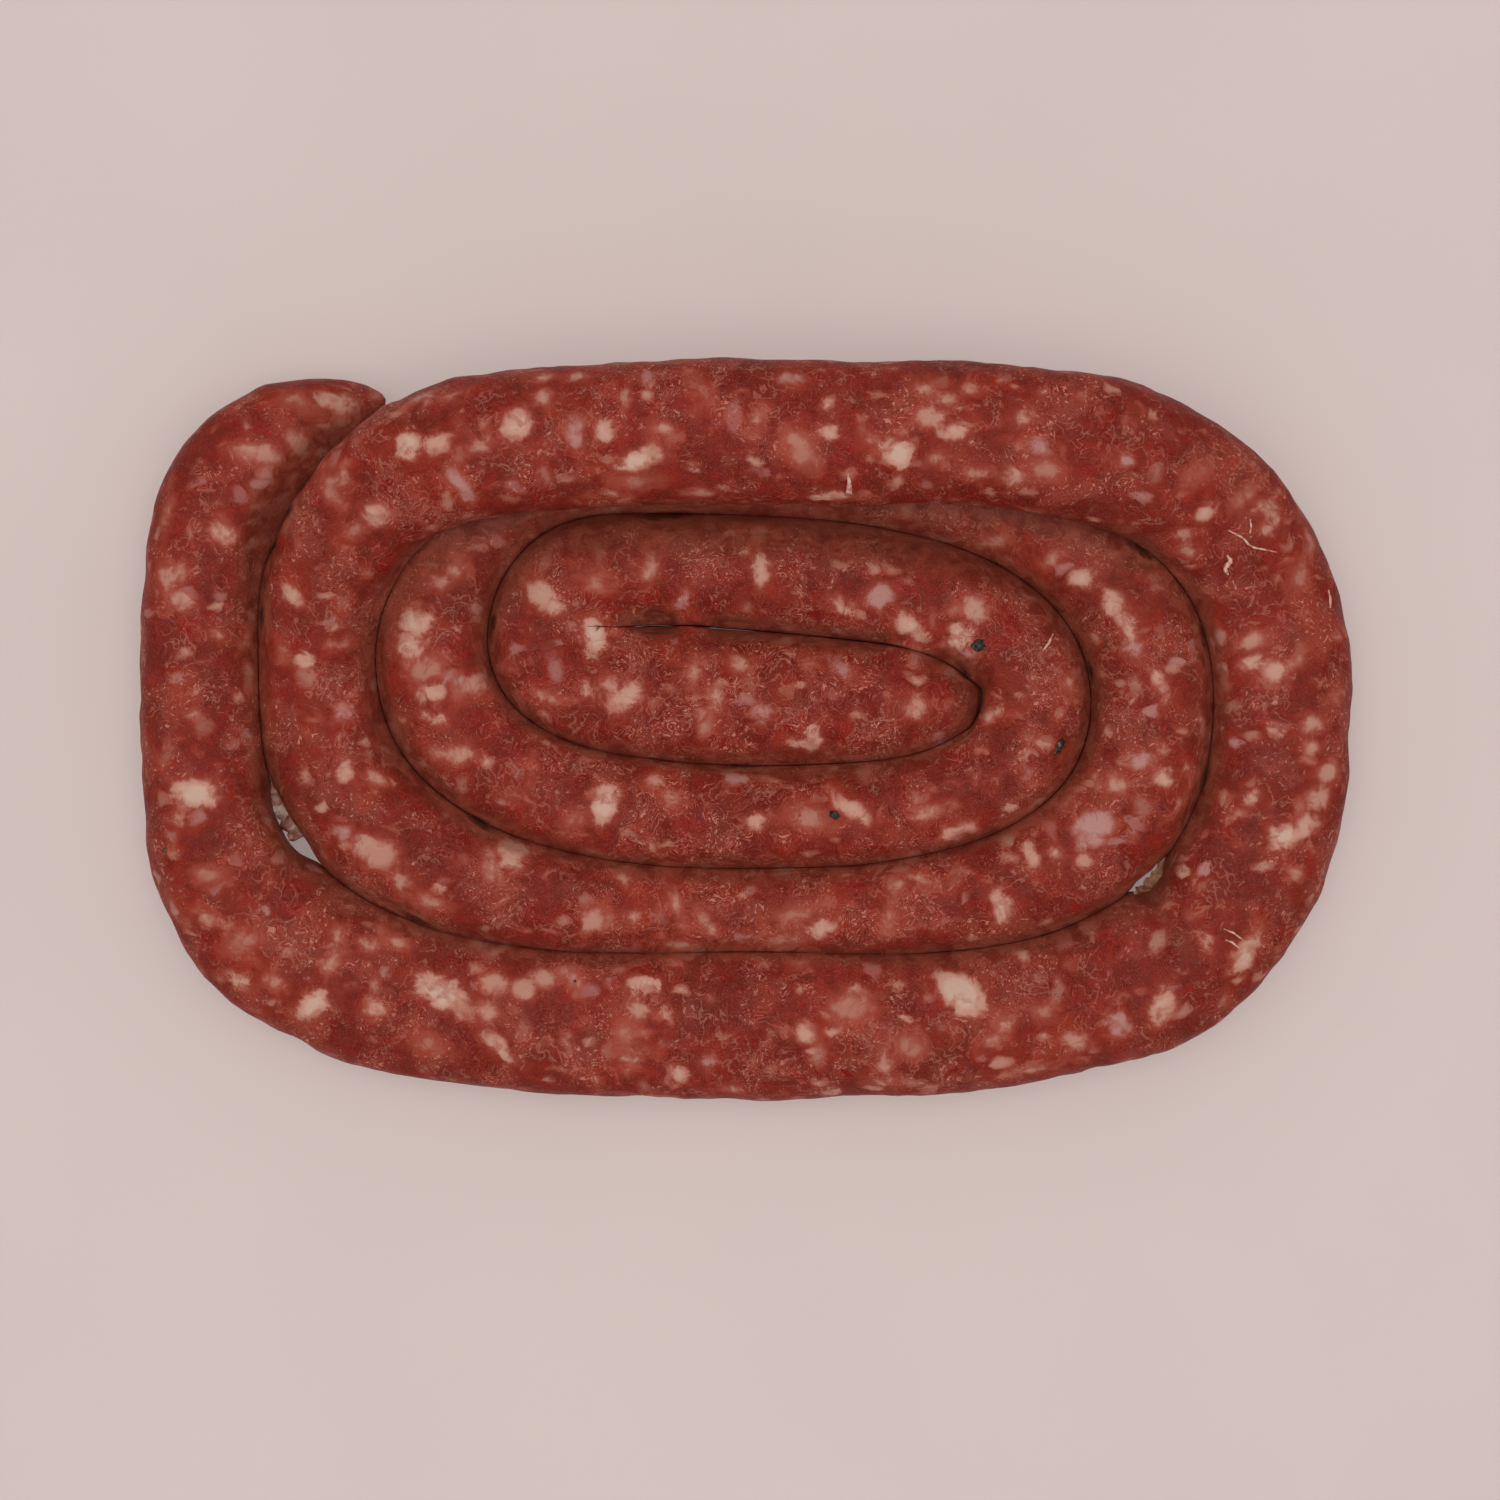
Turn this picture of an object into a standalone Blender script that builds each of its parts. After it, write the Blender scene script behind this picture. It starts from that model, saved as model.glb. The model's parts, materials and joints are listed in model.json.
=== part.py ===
"""Coiled fresh sausage: one unlinked rope laid flat in an oval spiral of about three and a half turns.

The rope starts at a squeezed-off end in the back left corner, runs left, front, right and back,
and winds inwards. Along the back the first turn climbs and lies on top of the second turn. Every
turn is soft: it presses flat against the turns beside it, over it and under it, and against the
surface it rests on. Lengths are in metres, with +Z up.
"""

import math

import bmesh
import bpy
import numpy as np

MM = 0.001

# Each row is a place where the rope runs exactly parallel to a side of the coil:
# x, y, half width, then the two squarenesses of the quarter turn that follows (2 is an
# ellipse, more is squarer, first where it leaves and then where it arrives), and how much
# the rope swells in the middle of that quarter turn. All lengths here are millimetres.
STATIONS = (
    ("outer_end", -69.5, 59.6, 5.6, 2.12, 3.80, 0.4),
    ("left_1", -103.5, 11.8, 11.4, 4.31, 2.33, 0.5),
    ("front_1", -6.0, -55.8, 13.2, 3.90, 2.60, 0.0),
    ("right_1", 101.6, 7.3, 13.0, 2.07, 5.00, -0.2),
    ("back_1", -3.1, 55.0, 13.1, 4.00, 2.30, -0.2),
    ("left_2", -81.4, 12.2, 10.9, 2.66, 2.78, 1.2),
    ("front_2", 1.2, -34.2, 8.2, 2.71, 2.88, 1.3),
    ("right_2", 77.2, 8.7, 11.3, 1.80, 3.50, 0.3),
    ("back_2", -19.7, 50.8, 11.0, 2.85, 1.50, -0.6),
    ("left_3", -59.6, 17.1, 11.1, 2.42, 2.75, 0.8),
    ("front_3", 6.7, -16.6, 9.5, 2.75, 2.06, 0.6),
    ("right_3", 54.8, 4.4, 11.0, 2.43, 2.52, 0.5),
    ("back_3", -27.0, 31.0, 10.7, 2.20, 2.20, 0.6),
    ("left_4", -38.6, 18.4, 12.4, 2.20, 2.20, 0.6),
    ("front_4", -24.0, 6.4, 13.4, 2.00, 2.00, 0.0),
    ("inner_end", 44.1, 5.1, 12.2, 2.00, 2.00, 0.0),
)

# Fuller and slacker places: station before, millimetres after it, extra half width in
# millimetres, and millimetres of rope it spreads over.
BULGES = (
    ("outer_end", 15.0, 1.5, 8.0),
    ("outer_end", 28.0, 3.0, 16.0),
    ("left_1", 22.0, -0.5, 9.0),
    ("left_1", 54.0, 1.8, 13.0),
    ("left_1", 79.0, 2.1, 29.0),
    ("front_1", 5.0, 1.4, 32.0),
    ("front_1", 35.0, 0.3, 20.0),
    ("front_1", 83.0, 2.0, 10.0),
    ("front_1", 103.0, 1.9, 19.0),
    ("right_1", 22.0, 0.7, 20.0),
    ("right_1", 62.0, 0.7, 13.0),
    ("back_1", 45.0, 0.8, 14.0),
    ("back_1", 78.0, 0.6, 16.0),
    ("left_2", 26.0, 0.6, 14.0),
    ("left_2", 42.0, 1.0, 12.0),
    ("front_2", 62.0, 0.4, 9.0),
    ("front_4", 40.0, -0.7, 11.0),
)
INNER_SAG = -0.3 * MM          # sideways bow of the last straight length

# Places where the inside of a bend folds in: station before, millimetres after it,
# depth as a share of the half width, and millimetres of rope it spreads over.
FOLDS = (
    ("front_1", 96.0, 0.24, 7.0),
    ("back_3", 15.0, 0.10, 6.0),
)

# How soft the rope is.
FULLNESS = 0.6 * MM           # half width it would take beyond the room it has
CROSS_SECTION = 500.0 * MM * MM
HALF_HEIGHT_MIN = 10.4 * MM
HALF_HEIGHT_MAX = 11.9 * MM
SECTION_SQUARENESS = 2.3       # superellipse power of a cut through the rope
FLOOR_SINK = 1.3 * MM          # depth pressed flat against the surface below
GAP = 0.36 * MM                # clearance kept between neighbouring turns
SAME_STRAND = 34.0 * MM        # nearer than this along the rope is the same length of rope
TIGHTEST_INSIDE = 0.88         # inside of a bend, as a share of the bend's radius

# The climb of the first turn over the second along the back.
LIFT = 18.2 * MM
LIFT_BEFORE = 62.0 * MM        # fully lifted from this far before back_1 ...
LIFT_AFTER = 48.0 * MM         # ... to this far after it
RAMP = 58.0 * MM

# Ends.
INNER_DOME = 19.0 * MM
OUTER_DOME = 5.0 * MM
OUTER_FLAT = 0.55              # share of the outer end left as a flat cut
DOME_RINGS = 6

# Mesh.
FINE_STEP = 1.0 * MM
RING_STEP = 5.15 * MM
SIDES = 18
BISECTIONS = 12

MEAT = (0.27, 0.048, 0.030, 1.0)


def quarter_turn(start, end, leave, arrive, along_y, steps=300):
    """Points of a superellipse quarter from one station to the next."""
    angle = np.linspace(0.0, math.pi / 2.0, steps)
    cos, sin = np.cos(angle), np.sin(angle)
    if along_y:
        x = end[0] + (start[0] - end[0]) * cos ** (2.0 / arrive)
        y = start[1] + (end[1] - start[1]) * sin ** (2.0 / leave)
    else:
        x = start[0] + (end[0] - start[0]) * sin ** (2.0 / leave)
        y = end[1] + (start[1] - end[1]) * cos ** (2.0 / arrive)
    return np.column_stack([x, y])


def straight(start, end, sag, steps=80):
    """Points of a nearly straight run with a slight sideways bow."""
    part = np.linspace(0.0, 1.0, steps)
    x = start[0] + (end[0] - start[0]) * part
    y = start[1] + (end[1] - start[1]) * part + sag * np.sin(math.pi * part)
    return np.column_stack([x, y])


def smoothed(values, spread):
    """Gaussian smoothing along an evenly stepped line that keeps both ends in place."""
    count = int(3 * spread)
    kernel = np.exp(-0.5 * (np.arange(-count, count + 1) / spread) ** 2)
    kernel /= kernel.sum()
    before = 2 * values[0] - values[count:0:-1]
    after = 2 * values[-1] - values[-2:-count - 2:-1]
    return np.convolve(np.concatenate([before, values, after]), kernel, mode="valid")


def eased(part):
    """Smooth step from 0 to 1."""
    part = np.clip(part, 0.0, 1.0)
    return part * part * (3.0 - 2.0 * part)


class Rope:
    """The sausage's centre line and natural section, at even steps along its length."""

    def __init__(self):
        places = [(row[1] * MM, row[2] * MM) for row in STATIONS]
        pieces, marks = [], [0]
        for index, row in enumerate(STATIONS[:-1]):
            start, end = places[index], places[index + 1]
            if index == len(STATIONS) - 2:
                piece = straight(start, end, INNER_SAG)
            else:
                piece = quarter_turn(start, end, row[4], row[5], index % 2 == 1)
            pieces.append(piece if index == 0 else piece[1:])
            marks.append(sum(len(each) for each in pieces) - 1)
        line = np.vstack(pieces)
        run = np.concatenate([[0.0], np.cumsum(np.linalg.norm(np.diff(line, axis=0), axis=1))])
        self.marks = run[marks]
        count = int(round(run[-1] / FINE_STEP))
        self.s = np.linspace(0.0, run[-1], count + 1)
        step = self.s[1]
        self.x = smoothed(np.interp(self.s, run, line[:, 0]), 4.0 * MM / step)
        self.y = smoothed(np.interp(self.s, run, line[:, 1]), 4.0 * MM / step)
        self.half = smoothed(self.half_width(), 6.0 * MM / step) + FULLNESS
        self.tall = np.clip(CROSS_SECTION / (math.pi * self.half), HALF_HEIGHT_MIN, HALF_HEIGHT_MAX)
        self.tall = np.minimum(self.tall, np.maximum(1.15 * self.half, 4.0 * MM))
        self.z = self.tall - FLOOR_SINK + self.lift()
        dx, dy = np.gradient(self.x, self.s), np.gradient(self.y, self.s)
        size = np.hypot(dx, dy)
        self.left_x, self.left_y = -dy / size, dx / size
        heading = np.unwrap(np.arctan2(dy, dx))
        self.turning = smoothed(np.gradient(heading, self.s), 3.0 * MM / step)
        self.cap = self.end_shape(self.s)
        self.inside = 1.0 - self.fold_depth()

    def half_width(self):
        """Half width along the rope: eased between stations and swollen in mid quarter."""
        last = len(self.marks) - 2
        piece = np.clip(np.searchsorted(self.marks, self.s, side="right") - 1, 0, last)
        part = (self.s - self.marks[piece]) / (self.marks[piece + 1] - self.marks[piece])
        width = np.array([row[3] for row in STATIONS]) * MM
        swell = np.array([row[6] for row in STATIONS]) * MM
        base = width[piece] + (width[piece + 1] - width[piece]) * eased(part)
        base += swell[piece] * np.sin(math.pi * part) ** 2
        for station, after, extra, spread in BULGES:
            place = self.mark(station) + after * MM
            base += extra * MM * np.exp(-((self.s - place) / (spread * MM)) ** 2)
        return base

    def mark(self, name):
        """Distance along the rope of a named station."""
        return self.marks[[row[0] for row in STATIONS].index(name)]

    def fold_depth(self):
        """Share taken off the inside of the rope where it folds."""
        depth = np.zeros_like(self.s)
        for station, after, share, spread in FOLDS:
            place = self.mark(station) + after * MM
            depth += share * np.exp(-((self.s - place) / (spread * MM)) ** 2)
        return depth

    def lift(self):
        """Height of the climb over the second turn."""
        top = self.mark("back_1")
        away = np.maximum(top - LIFT_BEFORE - self.s, self.s - top - LIFT_AFTER) / RAMP
        return LIFT * (1.0 - eased(away))

    def end_shape(self, s):
        """Share of the full section left near the two ends."""
        inner = np.clip((self.s[-1] - s) / INNER_DOME, 0.0, 1.0)
        outer = np.clip(s / OUTER_DOME, 0.0, 1.0)
        dome = np.sqrt(1.0 - (1.0 - inner) ** 2)
        cut = OUTER_FLAT + (1.0 - OUTER_FLAT) * np.sqrt(1.0 - (1.0 - outer) ** 2)
        return dome * cut

    def ring_places(self):
        """Distances along the rope where rings of vertices go."""
        length = self.s[-1]
        angle = np.linspace(0.0, math.pi / 2.0, DOME_RINGS + 1)
        outer = OUTER_DOME * np.array([0.0, 0.12, 0.45, 1.0])
        inner = length - INNER_DOME * (1.0 - np.cos(angle[:0:-1]))
        count = int(round((inner[0] - outer[-1]) / RING_STEP))
        return np.concatenate([outer, np.linspace(outer[-1], inner[0], count + 1)[1:-1], inner])

    def at(self, values, s):
        """A value of the rope read at any distance along it."""
        return np.interp(s, self.s, values)


def natural_section(rope, s):
    """Sideways and upward offsets of one ring before it is pressed by anything."""
    angle = np.arange(SIDES) / SIDES * 2.0 * math.pi - math.pi / 2.0
    power = 2.0 / SECTION_SQUARENESS
    across = np.sign(np.cos(angle)) * np.abs(np.cos(angle)) ** power
    upward = np.sign(np.sin(angle)) * np.abs(np.sin(angle)) ** power
    half, tall = rope.at(rope.half, s), rope.at(rope.tall, s)
    cap, turning = rope.at(rope.cap, s), rope.at(rope.turning, s)
    if s >= rope.s[-1] - INNER_DOME or s <= OUTER_DOME:
        cap = float(rope.end_shape(np.array([s]))[0])
    room = TIGHTEST_INSIDE / max(abs(turning), 1.0)
    inside = min(1.0, room / max(half * cap, 1e-6)) * rope.at(rope.inside, s)
    scale = np.where(across * turning > 0.0, inside, 1.0)
    return across * half * cap * scale, upward * tall * cap, max(cap, 0.05)


def pressed_share(rope, s, across, upward, cap):
    """How far each vertex of a ring may go before it meets half the gap to another turn."""
    x, y, z = rope.at(rope.x, s), rope.at(rope.y, s), rope.at(rope.z, s)
    left_x, left_y = rope.at(rope.left_x, s), rope.at(rope.left_y, s)
    half, tall = rope.at(rope.half, s), rope.at(rope.tall, s)
    other = (np.abs(rope.s - s) > SAME_STRAND) & (np.hypot(rope.x - x, rope.y - y) < 45.0 * MM)
    if not other.any():
        return np.ones(SIDES)
    ox, oy, oz = rope.x[other], rope.y[other], rope.z[other]
    ohalf, otall = rope.half[other], rope.tall[other]
    ocap = np.maximum(rope.cap[other], 0.05)
    clearance = GAP / (half + ohalf)

    def free(share):
        px = x + left_x * across * share
        py = y + left_y * across * share
        pz = np.maximum(z + upward * share, 0.0)
        plan = (px[:, None] - ox) ** 2 + (py[:, None] - oy) ** 2
        theirs = np.sqrt(plan / ohalf ** 2 + (pz[:, None] - oz) ** 2 / otall ** 2) / ocap
        own = np.sqrt((across * share / half) ** 2 + ((pz - z) / tall) ** 2) / cap
        return own <= (theirs - clearance).min(axis=1)

    untouched = free(np.ones(SIDES))
    low, high = np.full(SIDES, 0.2), np.ones(SIDES)
    for _ in range(BISECTIONS):
        middle = (low + high) / 2.0
        clear = free(middle)
        low = np.where(clear, middle, low)
        high = np.where(clear, high, middle)
    return np.where(untouched, 1.0, low)


def ring_points(rope, s):
    """One ring of vertices around the rope."""
    across, upward, cap = natural_section(rope, s)
    share = pressed_share(rope, s, across, upward, cap)
    x = rope.at(rope.x, s) + rope.at(rope.left_x, s) * across * share
    y = rope.at(rope.y, s) + rope.at(rope.left_y, s) * across * share
    z = np.maximum(rope.at(rope.z, s) + upward * share, 0.0)
    return np.column_stack([x, y, z])


def build_mesh(rope):
    """Rings joined by triangles, a fan over the cut end and a fan at the rounded tip."""
    places = rope.ring_places()
    mesh = bmesh.new()
    rings = []
    for s in places:
        rings.append([mesh.verts.new(point) for point in ring_points(rope, s)])
    for near, far in zip(rings, rings[1:]):
        for side in range(SIDES):
            following = (side + 1) % SIDES
            mesh.faces.new((near[side], far[side], far[following]))
            mesh.faces.new((near[side], far[following], near[following]))
    outer = sum((vertex.co for vertex in rings[0]), start=rings[0][0].co * 0.0) / SIDES
    outer_pole = mesh.verts.new(outer)
    length = rope.s[-1]
    tip = (rope.x[-1], rope.y[-1], rope.at(rope.z, length))
    inner_pole = mesh.verts.new(tip)
    for side in range(SIDES):
        following = (side + 1) % SIDES
        mesh.faces.new((rings[0][side], rings[0][following], outer_pole))
        mesh.faces.new((rings[-1][following], rings[-1][side], inner_pole))
    bmesh.ops.recalc_face_normals(mesh, faces=mesh.faces[:])
    return mesh


def centre_on_floor(mesh):
    """Put the middle of the outline at the origin, resting on z = 0."""
    points = np.array([vertex.co[:] for vertex in mesh.verts])
    low, high = points.min(axis=0), points.max(axis=0)
    move = np.array([(low[0] + high[0]) / 2.0, (low[1] + high[1]) / 2.0, low[2]])
    for vertex in mesh.verts:
        vertex.co.x -= move[0]
        vertex.co.y -= move[1]
        vertex.co.z -= move[2]


def meat_material():
    """Raw red meat under a thin moist casing."""
    material = bpy.data.materials.new("raw_sausage")
    material.use_nodes = True
    shader = material.node_tree.nodes["Principled BSDF"]
    shader.inputs["Base Color"].default_value = MEAT
    shader.inputs["Roughness"].default_value = 0.38
    material.diffuse_color = MEAT
    return material


def main():
    """Build the coil as one named solid."""
    for existing in list(bpy.data.objects):
        bpy.data.objects.remove(existing, do_unlink=True)
    collection = bpy.data.collections.new("coiled_fresh_sausage")
    bpy.context.scene.collection.children.link(collection)
    mesh = build_mesh(Rope())
    centre_on_floor(mesh)
    data = bpy.data.meshes.new("sausage_rope")
    mesh.to_mesh(data)
    mesh.free()
    data.materials.append(meat_material())
    for polygon in data.polygons:
        polygon.use_smooth = False
    collection.objects.link(bpy.data.objects.new("sausage_rope", data))


main()
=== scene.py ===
"""Looks for a coiled fresh sausage: coarse raw meat and fat in a thin moist casing, on a pale floor."""

import json
import logging
import math
from dataclasses import dataclass
from enum import Enum

import bpy
import numpy as np
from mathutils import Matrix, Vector
from mathutils.bvhtree import BVHTree

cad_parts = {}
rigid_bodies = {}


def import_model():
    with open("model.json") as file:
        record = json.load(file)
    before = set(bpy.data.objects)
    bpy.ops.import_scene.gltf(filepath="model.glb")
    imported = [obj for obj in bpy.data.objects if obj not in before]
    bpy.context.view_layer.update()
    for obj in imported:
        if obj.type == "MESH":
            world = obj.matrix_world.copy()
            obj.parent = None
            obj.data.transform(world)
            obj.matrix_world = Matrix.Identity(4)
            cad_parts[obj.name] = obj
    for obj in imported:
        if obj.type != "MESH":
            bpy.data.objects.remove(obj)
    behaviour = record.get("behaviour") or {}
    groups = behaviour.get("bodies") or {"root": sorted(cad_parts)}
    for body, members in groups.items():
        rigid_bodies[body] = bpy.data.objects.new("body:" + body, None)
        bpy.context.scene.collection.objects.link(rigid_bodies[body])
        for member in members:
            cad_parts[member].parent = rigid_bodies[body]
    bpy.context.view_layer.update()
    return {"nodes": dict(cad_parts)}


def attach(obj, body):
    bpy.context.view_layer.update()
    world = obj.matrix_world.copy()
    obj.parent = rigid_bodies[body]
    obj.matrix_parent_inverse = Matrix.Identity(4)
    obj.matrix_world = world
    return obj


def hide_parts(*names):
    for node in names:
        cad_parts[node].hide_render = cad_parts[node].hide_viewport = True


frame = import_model()

LOG = logging.getLogger("coiled_sausage")
MM = 0.001
BODY = "root"
CAD_NODE = "sausage_rope"
FAT_MARK = "seen_fat"
PLACE_MARK = "place_marks"

Triple = tuple[float, float, float]


def srgb(red: float, green: float, blue: float) -> tuple[float, float, float, float]:
    """Turn a display colour from 0 to 255 into a linear colour for a shader."""

    def linear(value: float) -> float:
        """Undo the display curve of one channel."""
        share = value / 255.0
        return share / 12.92 if share <= 0.04045 else ((share + 0.055) / 1.055) ** 2.4

    return (linear(red), linear(green), linear(blue), 1.0)


def ease_array(values: np.ndarray, low: float, high: float) -> np.ndarray:
    """Ease numbers from 0 at one level to 1 at another."""
    share = np.clip((values - low) / (high - low), 0.0, 1.0)
    return share * share * (3.0 - 2.0 * share)


class Edge(Enum):
    """How blurred a piece of fat looks through the casing: the width of its edge in millimetres."""

    CRISP = 0.8
    SOFT = 1.5
    SUNKEN = 2.6


class Tint(Enum):
    """Colour of a piece of fat."""

    CREAM = "cream"
    PINK = "pink"
    LILAC = "lilac"


# Large pieces of fat on the upper side, in millimetres from the middle of the coil:
# place along and across the coil, length, width, turn in degrees, and paleness from 0 to 1.


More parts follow.
